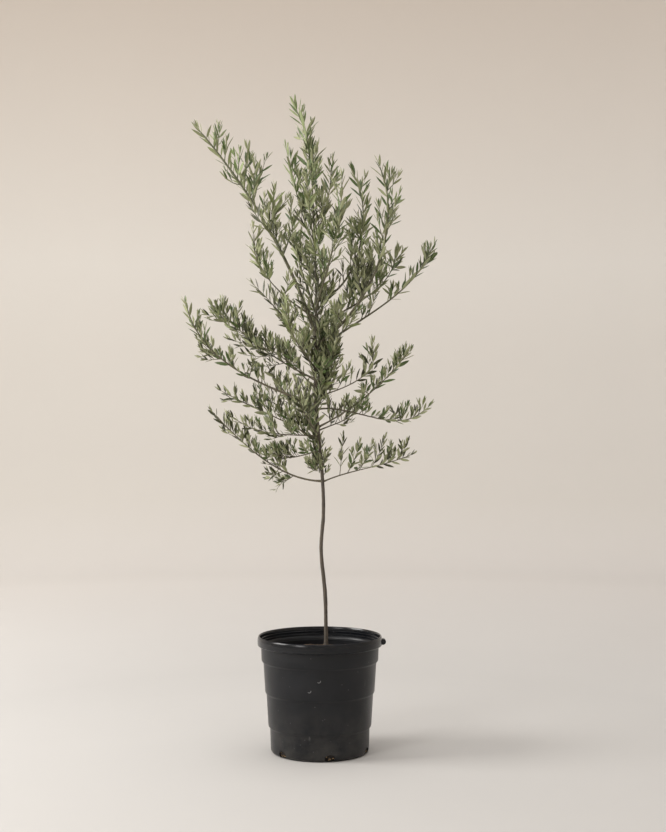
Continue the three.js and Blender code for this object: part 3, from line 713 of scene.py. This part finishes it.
def leaf_at(twig, share, away_turn, from_tip, random):
    """One leaf on a twig, `away_turn` radians round it and `from_tip` millimetres from its tip."""
    along, across, beside = twig.curve.axes(share)
    away = across * math.cos(away_turn) + beside * math.sin(away_turn)
    grown = min(from_tip / YOUNG_REACH, 1.0) if twig.drawn else 1.0
    angle = math.radians(lerp(*LEAF_ANGLE, grown) + lerp(-LEAF_SWING, LEAF_SWING, random()))
    direction = along * math.cos(angle) + away * math.sin(angle) + UP * LEAF_RISE
    direction.normalize()
    flat = along.cross(away).normalized()
    normal = flat.cross(direction).normalized()
    if normal.z < 0:
        normal = -normal
    twist = math.radians(LEAF_TWIST * lerp(-1.0, 1.0, random()))
    side = direction.cross(normal)
    side = side * math.cos(twist) + normal * math.sin(twist)
    root = twig.curve.at(share)
    high = crown_share(root.z)
    age = lerp(TIP_LEAF_SHARE, 1.0, grown)
    length = lerp(*LEAF_LENGTH, high) * age * between(LEAF_LENGTH_RANGE, random)
    width = length * lerp(*LEAF_SLIMNESS, high) * between(LEAF_WIDTH_RANGE, random)
    return Leaf(root, direction, side, length, width, between(LEAF_BEND, random), twig.tone)


def leaves_of(twig, random):
    """Opposite pairs back from the tip, each about a quarter turn from the last."""
    leaves = []
    length = twig.curve.length
    turn = random() * math.pi
    step = lerp(*LEAF_PAIR_STEP, crown_share(twig.curve.at(1.0).z))
    if twig.drawn:
        leaves += [leaf_at(twig, 1.0, tip_turn, 0.0, random) for tip_turn in (turn, turn + math.pi)]
    from_tip = FIRST_PAIR
    while from_tip < length * (1 - twig.first_leaf):
        turn += math.pi / 2 + lerp(-PAIR_TURN, PAIR_TURN, random())
        for side_turn in (turn, turn + math.pi):
            if random() < LEAF_CHANCE:
                leaves.append(leaf_at(twig, 1 - from_tip / length, side_turn, from_tip, random))
        from_tip += step * between(LEAF_STEP_RANGE, random)
    return leaves


# ---------------------------------------------------------------- making pieces

def clear_selection():
    bpy.ops.object.select_all(action="DESELECT")


def only(piece):
    """Selects one piece and nothing else."""
    clear_selection()
    piece.select_set(True)
    bpy.context.view_layer.objects.active = piece


def apply_all(piece):
    """Makes all modifiers of a piece part of its mesh."""
    only(piece)
    for modifier in list(piece.modifiers):
        bpy.ops.object.modifier_apply(modifier=modifier.name)


def finish_place(piece):
    only(piece)
    bpy.ops.object.transform_apply(location=True, rotation=True, scale=True)


def smooth(piece, degrees):
    """Shades faces that meet at less than an angle as one surface."""
    only(piece)
    bpy.ops.object.shade_smooth_by_angle(angle=math.radians(degrees))


def face_all(piece, inside=False):
    """Turns all faces of a piece outwards, or inwards."""
    only(piece)
    bpy.ops.object.mode_set(mode="EDIT")
    bpy.ops.mesh.select_all(action="SELECT")
    bpy.ops.mesh.normals_make_consistent(inside=inside)
    bpy.ops.object.mode_set(mode="OBJECT")


def wear(piece, material):
    piece.data.materials.clear()
    piece.data.materials.append(material)


def add_form(corners, faces, own_corners, own_faces):
    """Adds a small form in millimetres to the corners and faces of a joined piece."""
    first = len(corners)
    corners.extend([corner * MM for corner in own_corners])
    faces.extend([tuple(first + i for i in face) for face in own_faces])


def mesh_piece(name, corners, faces, slots=None):
    mesh = bpy.data.meshes.new(name)
    mesh.from_pydata(corners, [], faces)
    if slots is not None:
        mesh.polygons.foreach_set("material_index", slots)
    mesh.update()
    piece = bpy.data.objects.new(name, mesh)
    bpy.context.collection.objects.link(piece)
    return piece


def draw_up(profile, extrude):
    """Extrudes what is selected ring by ring, from the first radius and height to the last."""
    for (radius, height), (next_radius, next_height) in zip(profile, profile[1:]):
        lift = (0, 0, (next_height - height) * MM)
        grow = next_radius / radius
        extrude(TRANSFORM_OT_translate={"value": lift})
        bpy.ops.transform.resize(value=(grow, grow, 1), center_override=(0, 0, next_height * MM))


def turned_piece(name, profile, sides):
    """A closed shell of revolution about +Z, drawn up from a circle."""
    clear_selection()
    radius, height = profile[0]
    bpy.ops.mesh.primitive_circle_add(vertices=sides, radius=radius * MM, location=(0, 0, height * MM))
    piece = bpy.context.object
    piece.name = name
    piece.data.name = name
    finish_place(piece)
    bpy.ops.object.mode_set(mode="EDIT")
    bpy.ops.mesh.select_mode(type="EDGE")
    bpy.ops.mesh.select_all(action="SELECT")
    bpy.ops.mesh.edge_face_add()
    bpy.ops.mesh.select_all(action="SELECT")
    draw_up(profile, bpy.ops.mesh.extrude_region_move)
    bpy.ops.object.mode_set(mode="OBJECT")
    face_all(piece)
    return piece


def displace(piece, name, size, strength, depth=2, group=""):
    """Gives a piece, or one group of its corners, lumps of about one size."""
    texture = bpy.data.textures.new(name, type="CLOUDS")
    texture.noise_scale = size * MM
    texture.noise_depth = depth
    modifier = piece.modifiers.new(name, "DISPLACE")
    modifier.texture = texture
    modifier.texture_coords = "LOCAL"
    modifier.strength = strength * MM
    modifier.mid_level = 0.5
    modifier.vertex_group = group


# ---------------------------------------------------------------- materials

def feed(tree, sockets, values):
    """Links each input to the socket it is given, or sets it to the plain value."""
    for key, value in values.items():
        if isinstance(value, bpy.types.NodeSocket):
            tree.links.new(value, sockets[key])
        else:
            sockets[key].default_value = value


def node(tree, kind, values, **settings):
    """A new node with its settings and its inputs."""
    made = tree.nodes.new(kind)
    for key, value in settings.items():
        setattr(made, key, value)
    feed(tree, made.inputs, values)
    return made


def mixed_colour(tree, factor, first, second, blend_type="MIX"):
    """A mix of two colours, where the factor and the colours are sockets or plain values."""
    inputs = {0: factor, 6: first, 7: second}
    return node(tree, "ShaderNodeMix", inputs, data_type="RGBA", blend_type=blend_type).outputs[2]


def mapped(tree, value, low, high, to_low=0.0, to_high=1.0):
    """What runs from low to high, stretched to another range and held at its ends."""
    values = {"Value": value, "From Min": low, "From Max": high, "To Min": to_low, "To Max": to_high}
    return node(tree, "ShaderNodeMapRange", values).outputs["Result"]


def product(tree, *factors):
    result = factors[0]
    for factor in factors[1:]:
        result = node(tree, "ShaderNodeMath", {0: result, 1: factor}, operation="MULTIPLY").outputs[0]
    return result


MOTTLE_SOCKETS = [
    ("INPUT", "Vector", "Place"), ("INPUT", "Float", "Scale"), ("INPUT", "Float", "Contrast"),
    ("INPUT", "Color", "First"), ("INPUT", "Color", "Second"), ("INPUT", "Float", "Smoother"),
    ("INPUT", "Float", "Rougher"), ("OUTPUT", "Color", "Color"), ("OUTPUT", "Float", "Roughness"),
    ("OUTPUT", "Float", "Height"),
]


def mottle_group():
    """Soft patches of two colours with a roughness and a height that go with them."""
    group = bpy.data.node_groups.new("mottle", "ShaderNodeTree")
    for direction, kind, label in MOTTLE_SOCKETS:
        group.interface.new_socket(label, in_out=direction, socket_type=f"NodeSocket{kind}")
    enter = group.nodes.new("NodeGroupInput").outputs
    noise = node(group, "ShaderNodeTexNoise", {"Vector": enter["Place"], "Scale": enter["Scale"],
                                               "Detail": 5.0, "Roughness": 0.6}).outputs["Fac"]
    low = node(group, "ShaderNodeMath", {0: 0.5, 1: enter["Contrast"]}, operation="SUBTRACT")
    high = node(group, "ShaderNodeMath", {0: 0.5, 1: enter["Contrast"]}, operation="ADD")
    patches = mapped(group, noise, low.outputs[0], high.outputs[0])
    colour = mixed_colour(group, patches, enter["First"], enter["Second"])
    rough = node(group, "ShaderNodeMix", {0: patches, 2: enter["Smoother"], 3: enter["Rougher"]},
                 data_type="FLOAT").outputs[0]
    node(group, "NodeGroupOutput", {"Color": colour, "Roughness": rough, "Height": noise})
    return group


class Finish:
    """A material in the making: its tree, its shader and the object's own coordinates."""

    def __init__(self, name):
        self.material = bpy.data.materials.new(name)
        self.material.use_nodes = True
        self.tree = self.material.node_tree
        self.shader = self.tree.nodes["Principled BSDF"]
        self.place = self.tree.nodes.new("ShaderNodeTexCoord").outputs["Object"]

    def stretched(self, scale):
        return node(self.tree, "ShaderNodeMapping", {"Vector": self.place, "Scale": scale}).outputs["Vector"]

    def mottle(self, scale, contrast, first, second, smoother=0.5, rougher=0.7, place=None):
        values = {"Place": place or self.place, "Scale": scale, "Contrast": contrast, "First": (*first, 1),
                  "Second": (*second, 1), "Smoother": smoother, "Rougher": rougher}
        return node(self.tree, "ShaderNodeGroup", values, node_tree=MOTTLE).outputs

    def share_along(self, axis, low, high):
        """0 at one place on an axis, in metres, and 1 at another."""
        split = node(self.tree, "ShaderNodeSeparateXYZ", {0: self.place})
        return mapped(self.tree, split.outputs[axis], low, high)

    def spots(self, scale, clear, full, most):
        """Scattered round spots, from nothing at their edge to the most at their middle."""
        cells = node(self.tree, "ShaderNodeTexVoronoi", {"Vector": self.place, "Scale": scale})
        return mapped(self.tree, cells.outputs["Distance"], clear, full, 0.0, most)

    def bump(self, height, distance, strength, after=None):
        values = {"Height": height, "Distance": distance, "Strength": strength}
        if after is not None:
            values["Normal"] = after
        return node(self.tree, "ShaderNodeBump", values).outputs["Normal"]

    def set(self, **values):
        feed(self.tree, self.shader.inputs, {label.replace("_", " "): values[label] for label in values})
        return self.material


def scuff_arc(finish, right, up):
    """A thin arc on the front of the pot, open to its upper left."""
    tree = finish.tree
    move = {"Vector": finish.place, "Location": (-right * MM, 0.0, -up * MM), "Scale": (1.0, 0.0, 1.0)}
    shift = node(tree, "ShaderNodeMapping", move).outputs["Vector"]
    away = node(tree, "ShaderNodeVectorMath", {0: shift}, operation="LENGTH").outputs["Value"]
    lower = node(tree, "ShaderNodeVectorMath", {0: shift, 1: SCUFF_SIDE}, operation="DOT_PRODUCT")
    inner = mapped(tree, away, (SCUFF_RADIUS - SCUFF_WIDTH) * MM, SCUFF_RADIUS * MM)
    outer = mapped(tree, away, (SCUFF_RADIUS + SCUFF_WIDTH) * MM, SCUFF_RADIUS * MM)
    side = mapped(tree, lower.outputs["Value"], 0.0, SCUFF_RADIUS / 2 * MM)
    return product(tree, inner, outer, side, finish.share_along("Y", 0.0, -0.05), SCUFF_STRENGTH)


def plastic_finish():
    """Black moulded plastic with a soft gloss, dust towards its foot, pale specks and a few scuffs."""
    finish = Finish("black_plastic")
    tree = finish.tree
    body = finish.mottle(9.0, 0.18, *PLASTIC, 0.30, 0.42)
    dust = finish.mottle(26.0, 0.16, BLACK, WHITE)
    dusty = product(tree, dust["Color"], finish.share_along("Z", *DUST_HEIGHTS), DUST_STRENGTH)
    colour = mixed_colour(tree, dusty, body["Color"], DUST)
    marks = finish.mottle(60.0, 0.05, BLACK, WHITE, place=finish.stretched((1.0, 1.0, 0.35)))
    colour = mixed_colour(tree, mapped(tree, marks["Height"], *MOULD_MARKS), colour, MOULD_MARK)
    colour = mixed_colour(tree, finish.spots(*SPECKS), colour, SPECK)
    for right, up in SCUFF_ARCS:
        colour = mixed_colour(tree, scuff_arc(finish, right, up), colour, SCUFF)
    rings = node(tree, "ShaderNodeTexWave", {"Vector": finish.place, "Scale": 60.0, "Distortion": 0.4},
                 bands_direction="Z")
    ringed = finish.bump(rings.outputs["Fac"], 0.0002, 0.25)
    grain = finish.mottle(700.0, 0.2, BLACK, WHITE)
    normal = finish.bump(grain["Height"], 0.0002, 0.3, ringed)
    polish = mapped(tree, finish.share_along("Z", *GLOSSY_RIM), 0.0, 1.0, 1.0, 0.5)
    rough = product(tree, body["Roughness"], polish)
    return finish.set(Base_Color=colour, Roughness=rough, Normal=normal, Specular_IOR_Level=0.33)


def soil_finish(name, first, second, foot):
    """Crumbly soil or bark, with another colour towards the foot of the pot: painted shade for the soil, a
    paler tan for the chips in the drain holes.
    """
    finish = Finish(name)
    mix = finish.mottle(150.0, 0.16, first, second, 0.85, 1.0)
    normal = finish.bump(mix["Height"], 0.002, 0.6)
    # towards the foot: the soil's painted shade, or the chips' paler tan
    colour = mixed_colour(finish.tree, finish.share_along("Z", *SOIL_BODY), (*foot, 1), mix["Color"])
    return finish.set(Base_Color=colour, Roughness=mix["Roughness"], Normal=normal)


def bark_finish(name, old, older, green, rough):
    """Grey-brown bark in fine upright streaks, greener where the wood is young."""
    finish = Finish(name)
    tree = finish.tree
    streaks = finish.mottle(260.0, 0.16, old, older, rough - 0.1, rough + 0.1,
                            finish.stretched((1.0, 1.0, 0.22)))
    patches = finish.mottle(30.0, 0.14, BLACK, WHITE)
    young = finish.share_along("Z", *YOUNG_WOOD)
    blend = product(tree, young, mapped(tree, patches["Height"], 0.3, 0.7, 0.5, 1.0))
    colour = mixed_colour(tree, blend, streaks["Color"], (*green, 1))
    colour = mixed_colour(tree, finish.spots(*PORES), colour, PORE)
    normal = finish.bump(streaks["Height"], 0.0006, 0.7)
    return finish.set(Base_Color=colour, Roughness=streaks["Roughness"], Normal=normal)


def leaf_finish(name, first, second, smoother, rougher):
    finish = Finish(name)
    tint = finish.mottle(38.0, 0.14, first, second, smoother, rougher)
    normal = finish.bump(tint["Height"], 0.0004, 0.3)
    return finish.set(Base_Color=tint["Color"], Roughness=tint["Roughness"], Normal=normal,
                      Specular_IOR_Level=0.45)


def stage_finish():
    """Warm grey paper, with painted shade on the floor near the pot, low and high on the wall and to the
    right.
    """
    finish = Finish("pale_stage")
    tree = finish.tree
    # the floor near the pot and the low wall carry painted shade
    floor = finish.mottle(1.7, 0.3, *FLOOR, 0.8, 0.9)
    low_wall = finish.mottle(1.3, 0.3, *LOW_WALL, 0.85, 0.95)
    wall = mixed_colour(tree, finish.share_along("Z", 0.7, 2.0), low_wall["Color"], WALL)
    # painted shade high up the wall
    wall = mixed_colour(tree, finish.share_along("Z", 2.0, 4.0), wall, HIGH_WALL_PAINTED_SHADE)
    far = mixed_colour(tree, finish.share_along("Z", 0.0, 0.4), FAR_FLOOR, wall)
    # painted shade to the right
    far = mixed_colour(tree, finish.share_along("X", -1.6, 2.0), far, RIGHT_PAINTED_SHADE, "MULTIPLY")
    reach = node(tree, "ShaderNodeVectorMath", {0: finish.stretched((1.0, 1.0, 0.0))}, operation="LENGTH")
    colour = mixed_colour(tree, mapped(tree, reach.outputs["Value"], 1.3, 4.2), floor["Color"], far)
    return finish.set(Base_Color=colour, Roughness=low_wall["Roughness"])


# ---------------------------------------------------------------- pot and soil

def drain_arch(bearing):
    """A bar along a radius of the pot, round above and flat at its foot, made a metre across at first."""
    clear_selection()
    half = 0.5
    bpy.ops.mesh.primitive_cylinder_add(vertices=ARCH_SIDES, radius=half, depth=DRAIN_DEPTH * MM,
                                        rotation=(0, math.pi / 2, 0))
    arch = bpy.context.object
    finish_place(arch)
    bpy.ops.object.mode_set(mode="EDIT")
    bpy.ops.mesh.select_all(action="DESELECT")
    bpy.ops.object.mode_set(mode="OBJECT")
    for corner in arch.data.vertices:
        corner.select = corner.co.z < -ARCH_MIDDLE
    bpy.ops.object.mode_set(mode="EDIT")
    bpy.ops.transform.resize(value=(1, 1, 0), center_override=(0, 0, -half))
    bpy.ops.mesh.select_all(action="SELECT")
    bpy.ops.transform.resize(value=(1, DRAIN_WIDTH * MM, DRAIN_HEIGHT * MM), center_override=(0, 0, 0))
    bpy.ops.object.mode_set(mode="OBJECT")
    face_all(arch)
    arch.location = (heading(bearing, 0) * DRAIN_REACH + UP * (DRAIN_FOOT + DRAIN_HEIGHT / 2)) * MM
    arch.rotation_euler = (0, 0, math.radians(bearing))
    finish_place(arch)
    return arch


def drain_cutter():
    """All drain holes as one piece."""
    cutters = [drain_arch(DRAIN_BEARING + 360.0 * i / DRAIN_COUNT) for i in range(DRAIN_COUNT)]
    only(cutters[0])
    for arch in cutters[1:]:
        arch.select_set(True)
    bpy.ops.object.join()
    return bpy.context.object


def lug_piece():
    """The round lug beside the rim."""
    clear_selection()
    bpy.ops.mesh.primitive_cylinder_add(vertices=LUG_SIDES, radius=LUG_RADIUS * MM, depth=LUG_WIDTH * MM,
                                        rotation=(math.pi / 2, 0, 0),
                                        location=[value * MM for value in LUG_AXIS])
    lug = bpy.context.object
    finish_place(lug)
    bevel = lug.modifiers.new("edge", "BEVEL")
    bevel.width = LUG_EDGE * MM
    bevel.segments = LUG_EDGE_STEPS
    bevel.limit_method = "ANGLE"
    apply_all(lug)
    return lug


def combine(piece, other, operation):
    """Joins or cuts a piece by another, which is used up."""
    modifier = piece.modifiers.new(operation.lower(), "BOOLEAN")
    modifier.operation = operation
    modifier.solver = "EXACT"
    modifier.object = other
    apply_all(piece)
    bpy.data.objects.remove(other)


def make_pot():
    pot = turned_piece("pot_shell", OUTSIDE + INSIDE, POT_SIDES)
    combine(pot, lug_piece(), "UNION")
    combine(pot, drain_cutter(), "DIFFERENCE")
    smooth(pot, degrees=32.0)
    wear(pot, plastic_finish())
    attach(pot, "root")
    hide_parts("pot")


def make_soil():
    edge_radius, edge_height = SOIL_PROFILE[-1]
    rings = [(edge_radius * (1 - i / SOIL_RINGS), lerp(edge_height, SOIL_TOP, i / SOIL_RINGS))
             for i in range(1, SOIL_RINGS)]
    soil = turned_piece("soil_fill", SOIL_PROFILE + rings, SOIL_SIDES)
    loose = soil.vertex_groups.new(name="surface")
    lowest = (edge_height - SOIL_SLACK) * MM
    furthest = (edge_radius - SOIL_EVEN_EDGE) * MM
    inner = [corner.index for corner in soil.data.vertices
             if corner.co.z > lowest and corner.co.xy.length < furthest]
    loose.add(inner, 1.0, "REPLACE")
    displace(soil, "soil_lumps", SOIL_LUMPS, SOIL_ROUGHNESS, depth=3, group="surface")
    displace(soil, "soil_crumbs", SOIL_CRUMBS, SOIL_ROUGHNESS / 2, group="surface")
    apply_all(soil)
    smooth(soil, degrees=50.0)
    wear(soil, soil_finish("potting_mix", *SOIL))
    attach(soil, "root")
    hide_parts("soil")


CHIP_BOX = [(x, y, z) for z in (-1, 1) for y in (-1, 1) for x in (-1, 1)]
CHIP_SIDES = [(0, 2, 3, 1), (4, 5, 7, 6), (0, 1, 5, 4), (2, 6, 7, 3), (0, 4, 6, 2), (1, 3, 7, 5)]


def chip_corners(middle, length, random):
    """A flat slab with uneven corners, turned and tipped by chance."""
    along = heading(360.0 * random(), lerp(-CHIP_TIP, CHIP_TIP, random()))
    across = along.cross(UP).normalized()
    over = across.cross(along)
    along *= length / 2
    across *= length * between(CHIP_WIDTH, random)
    over *= length * between(CHIP_THICKNESS, random)
    corners = []
    for box_corner in CHIP_BOX:
        x, y, z = [value * between(CHIP_CORNER, random) for value in box_corner]
        corners.append(middle + along * x + across * y + over * z)
    return corners


def make_chips():
    """Bark chips strewn over the soil and a few that show in the drain holes."""
    random = seeded_random(FINE_SEED + CHIP_SEED)
    corners, faces = [], []
    for _ in range(CHIP_COUNT):
        out = math.sqrt(random())
        flat = heading(360.0 * random(), 0) * (CHIP_REACH * out)
        height = SOIL_TOP - lerp(*CHIP_SINK, out) + CHIP_HEAP * random()
        length = lerp(*CHIP_LENGTH, random() ** CHIP_BIAS)
        add_form(corners, faces, chip_corners(flat + UP * height, length, random), CHIP_SIDES)
    for i in range(DRAIN_COUNT * DRAIN_CHIPS):
        bearing = DRAIN_BEARING + 360.0 * i / DRAIN_COUNT + lerp(-DRAIN_CHIP_FAN, DRAIN_CHIP_FAN, random())
        middle = heading(bearing, 0) * between(DRAIN_CHIP_REACH, random)
        middle += UP * between(DRAIN_CHIP_HEIGHT, random)
        length = between(DRAIN_CHIP_LENGTH, random)
        add_form(corners, faces, chip_corners(middle, length, random), CHIP_SIDES)
    chips = mesh_piece("bark_chips", corners, faces)
    face_all(chips)
    wear(chips, soil_finish("bark_chip", *CHIPS))
    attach(chips, "root")


# ---------------------------------------------------------------- trunk, boughs, twigs

def limb_piece(name, limbs, roundness):
    """Tapering limbs, each a line of points with its thickness, made one mesh."""
    curve = bpy.data.curves.new(name, "CURVE")
    curve.dimensions = "3D"
    curve.bevel_depth = MM
    curve.bevel_resolution = roundness
    curve.use_fill_caps = True
    for points, radii in limbs:
        spline = curve.splines.new("POLY")
        spline.points.add(len(points) - 1)
        for spot, point, radius in zip(spline.points, points, radii):
            spot.co = (*(point * MM), 1)
            spot.radius = radius
    piece = bpy.data.objects.new(name, curve)
    bpy.context.collection.objects.link(piece)
    only(piece)
    bpy.ops.object.convert(target="MESH")
    return bpy.context.object


def limb_line(curve, radius_at, step):
    """Points along a curve, about a step apart, and the thickness at each."""
    steps = max(3, round(curve.length / step))
    shares = [i / steps for i in range(steps + 1)]
    return [curve.at(share) for share in shares], [radius_at(share) for share in shares]


def collared(limb):
    """A limb's thickness, with the collar that holds it to the trunk."""
    def radius_at(share):
        collar = COLLAR * math.exp(-share * limb.curve.length / COLLAR_LENGTH)
        return limb.radius_at(share) * LIMB_SHARE * (1 + collar)

    return radius_at


def make_trunk(bark):
    trunk = limb_piece("trunk_bark", [limb_line(TRUNK, trunk_radius, TRUNK_STEP)], TRUNK_ROUNDNESS)
    displace(trunk, "trunk_knots", *TRUNK_KNOTS)
    displace(trunk, "trunk_grain", *TRUNK_GRAIN)
    apply_all(trunk)
    smooth(trunk, degrees=60.0)
    wear(trunk, bark)
    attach(trunk, "root")
    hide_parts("trunk")


def make_boughs(bark):
    lines = [limb_line(limb.curve, collared(limb), BOUGH_STEP) for limb in LIMBS]
    boughs = limb_piece("bough_bark", lines, BOUGH_ROUNDNESS)
    displace(boughs, "bough_knots", *BOUGH_KNOTS)
    displace(boughs, "bough_grain", *BOUGH_GRAIN)
    apply_all(boughs)
    smooth(boughs, degrees=60.0)
    wear(boughs, bark)
    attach(boughs, "root")
    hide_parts(*[f"bough_{limb.name}" for limb in LIMBS if limb.bare > 0])


def tube(points, radii, sides):
    """The corners and faces of a closed tapering tube that ends in a point."""
    corners, faces = [], []
    along = (points[-1] - points[0]).normalized()
    first = along.orthogonal().normalized()
    second = along.cross(first)
    for point, radius in zip(points[:-1], radii[:-1]):
        for i in range(sides):
            turn = 2 * math.pi * i / sides
            corners.append(point + (first * math.cos(turn) + second * math.sin(turn)) * radius)
    corners.append(points[-1])
    rings = len(points) - 1
    faces.append(tuple(reversed(range(sides))))
    for ring in range(rings - 1):
        low, high = ring * sides, (ring + 1) * sides
        for i in range(sides):
            j = (i + 1) % sides
            faces.append((low + i, low + j, high + j, high + i))
    last = (rings - 1) * sides
    faces.extend([(last + i, last + (i + 1) % sides, len(corners) - 1) for i in range(sides)])
    return corners, faces


def twig_tube(twig):
    """A twig's corners and faces."""
    root_radius = max(twig.root_radius, SHOOT_TIP_RADIUS + LEAST_TAPER)

    def radius_at(share):
        return lerp(root_radius, SHOOT_TIP_RADIUS, share)

    return tube(*limb_line(twig.curve, radius_at, TWIG_STEP), TWIG_SIDES)


def make_twigs(twigs, bark):
    corners, faces = [], []
    for twig in twigs:
        if twig.drawn:
            add_form(corners, faces, *twig_tube(twig))
    piece = mesh_piece("twigs", corners, faces)
    smooth(piece, degrees=75.0)
    wear(piece, bark)
    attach(piece, "root")
    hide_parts(*LEAF_NODES)


# ---------------------------------------------------------------- leaves

def leaf_faces():
    """A leaf's faces as corner numbers, with 0 for the upper side and 1 for the lower side."""
    upper, lower = [], [(0, 3, 2, 1)]
    for station in range(len(LEAF_STATIONS) - 1):
        left, rib, right, keel = [4 * station + i for i in range(4)]
        upper += [(left, rib, rib + 4, left + 4), (rib, right, right + 4, rib + 4)]
        lower += [(right, keel, keel + 4, right + 4), (keel, left, left + 4, keel + 4)]
    left, rib, right, keel = [4 * (len(LEAF_STATIONS) - 1) + i for i in range(4)]
    tip = keel + 1
    upper += [(left, rib, tip), (rib, right, tip)]
    lower += [(right, keel, tip), (keel, left, tip)]
    return upper + lower, [0] * len(upper) + [1] * len(lower)


def leaf_corners(leaf):
    """Stations of left edge, midrib, right edge and keel, and last the tip."""
    normal = leaf.side.cross(leaf.direction)
    corners = []
    for share, width in LEAF_STATIONS:
        rib = leaf.root + (leaf.direction * share + normal * (leaf.bend * share ** 2)) * leaf.length
        half = leaf.side * (leaf.width / 2 * width)
        lift = normal * (LEAF_FOLD * leaf.width / 2 * width)
        corners += [rib - half + lift, rib, rib + half + lift, rib - normal * LEAF_THICKNESS]
    corners.append(leaf.root + (leaf.direction + normal * leaf.bend) * leaf.length)
    return corners


def make_leaves(leaves, tone, upper, lower):
    """All leaves of one tone as one piece with two materials."""
    pattern, sides = leaf_faces()
    corners, faces, slots = [], [], []
    for leaf in leaves:
        if leaf.tone == tone:
            add_form(corners, faces, leaf_corners(leaf), pattern)
            slots.extend(sides)
    piece = mesh_piece(f"leaves_{tone}", corners, faces, slots)
    smooth(piece, degrees=40.0)
    for material in (upper, lower):  # not by wear(), so that each face keeps its slot
        piece.data.materials.append(material)
    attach(piece, "root")
    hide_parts(*LEAF_NODES)


# ---------------------------------------------------------------- stage, camera, light

def make_stage():
    """A pale floor that curves up into a wall all round."""
    flat = STAGE_FLAT[-1]
    profile = [(radius, 0.0) for radius in (STAGE_FOOT, *STAGE_FLAT)]
    for i in range(1, STAGE_BEND_STEPS + 1):
        turn = math.pi / 2 * i / STAGE_BEND_STEPS
        profile.append((flat + STAGE_BEND * math.sin(turn), STAGE_BEND - STAGE_BEND * math.cos(turn)))
    profile.append((flat + STAGE_BEND, STAGE_HEIGHT))
    clear_selection()
    bpy.ops.mesh.primitive_circle_add(vertices=STAGE_SIDES, radius=STAGE_FOOT * MM, fill_type="NGON")
    stage = bpy.context.object
    stage.name = "stage"
    finish_place(stage)
    bpy.ops.object.mode_set(mode="EDIT")
    bpy.ops.mesh.select_mode(type="EDGE")
    bpy.ops.mesh.select_all(action="SELECT")
    draw_up(profile, bpy.ops.mesh.extrude_edges_move)
    bpy.ops.object.mode_set(mode="OBJECT")
    face_all(stage, inside=True)
    smooth(stage, degrees=80.0)
    wear(stage, stage_finish())


def make_camera():
    lens = bpy.data.cameras.new("camera")
    lens.sensor_width = SENSOR
    lens.lens = FOCAL_LENGTH
    camera = bpy.data.objects.new("camera", lens)
    camera.location = CAMERA_PLACE
    camera.rotation_euler = (math.pi / 2, 0, 0)
    bpy.context.collection.objects.link(camera)
    bpy.context.scene.camera = camera


def make_light(name, place, target, size, power, colour):
    lamp = bpy.data.lights.new(name, "AREA")
    lamp.shape = "RECTANGLE"
    lamp.size, lamp.size_y = size
    lamp.energy = power
    lamp.color = colour
    light = bpy.data.objects.new(name, lamp)
    light.location = place
    light.rotation_euler = (Vector(place) - Vector(target)).to_track_quat("Z", "Y").to_euler()
    bpy.context.collection.objects.link(light)


def make_lights():
    for row in LIGHTS:
        make_light(*row)
    world = bpy.data.worlds.new("room")
    world.use_nodes = True
    background = world.node_tree.nodes["Background"]
    feed(world.node_tree, background.inputs, {"Color": ROOM_COLOUR, "Strength": ROOM_LIGHT})
    bpy.context.scene.world = world
    bpy.context.scene.view_settings.view_transform = "Standard"


# ---------------------------------------------------------------- all together

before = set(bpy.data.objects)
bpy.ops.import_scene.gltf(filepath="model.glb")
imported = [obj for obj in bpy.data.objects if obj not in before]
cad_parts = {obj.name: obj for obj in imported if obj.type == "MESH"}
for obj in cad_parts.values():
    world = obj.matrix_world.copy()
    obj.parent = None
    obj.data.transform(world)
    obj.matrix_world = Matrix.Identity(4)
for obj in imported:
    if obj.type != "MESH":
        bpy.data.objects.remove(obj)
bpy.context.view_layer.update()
clear_selection()

LEAF_NODES = [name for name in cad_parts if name.startswith("leaves_")]
MOTTLE = mottle_group()

make_camera()
make_lights()
make_stage()
make_pot()
make_soil()
make_chips()

make_trunk(bark_finish("old_bark", *OLD_BARK))
make_boughs(bark_finish("bough_bark", *BOUGH_BARK))

twigs = trunk_twigs()
twigs += single_sprays(SINGLE_SPRAYS, seeded_random(FINE_SEED + SPRAY_SEED))
twigs += single_sprays(depth_sprays(), seeded_random(FINE_SEED + DEPTH_SPRAY_SEED))
for seed, limb in enumerate(LIMBS, 1):
    twigs += mass_of_twigs(limb, seed)
make_twigs(twigs, bark_finish("twig_bark", *TWIG_BARK))

leaf_random = seeded_random(FINE_SEED + LEAF_SEED)
leaves = [leaf for twig in twigs for leaf in leaves_of(twig, leaf_random)]
silver = leaf_finish("leaf_underside", *UNDERSIDE)
silver_young = leaf_finish("young_underside", *YOUNG_UNDERSIDE)
for tone, look in LEAF_TONES.items():
    lower = silver_young if tone == "young" else silver
    make_leaves(leaves, tone, leaf_finish(f"leaf_{tone}", *look), lower)
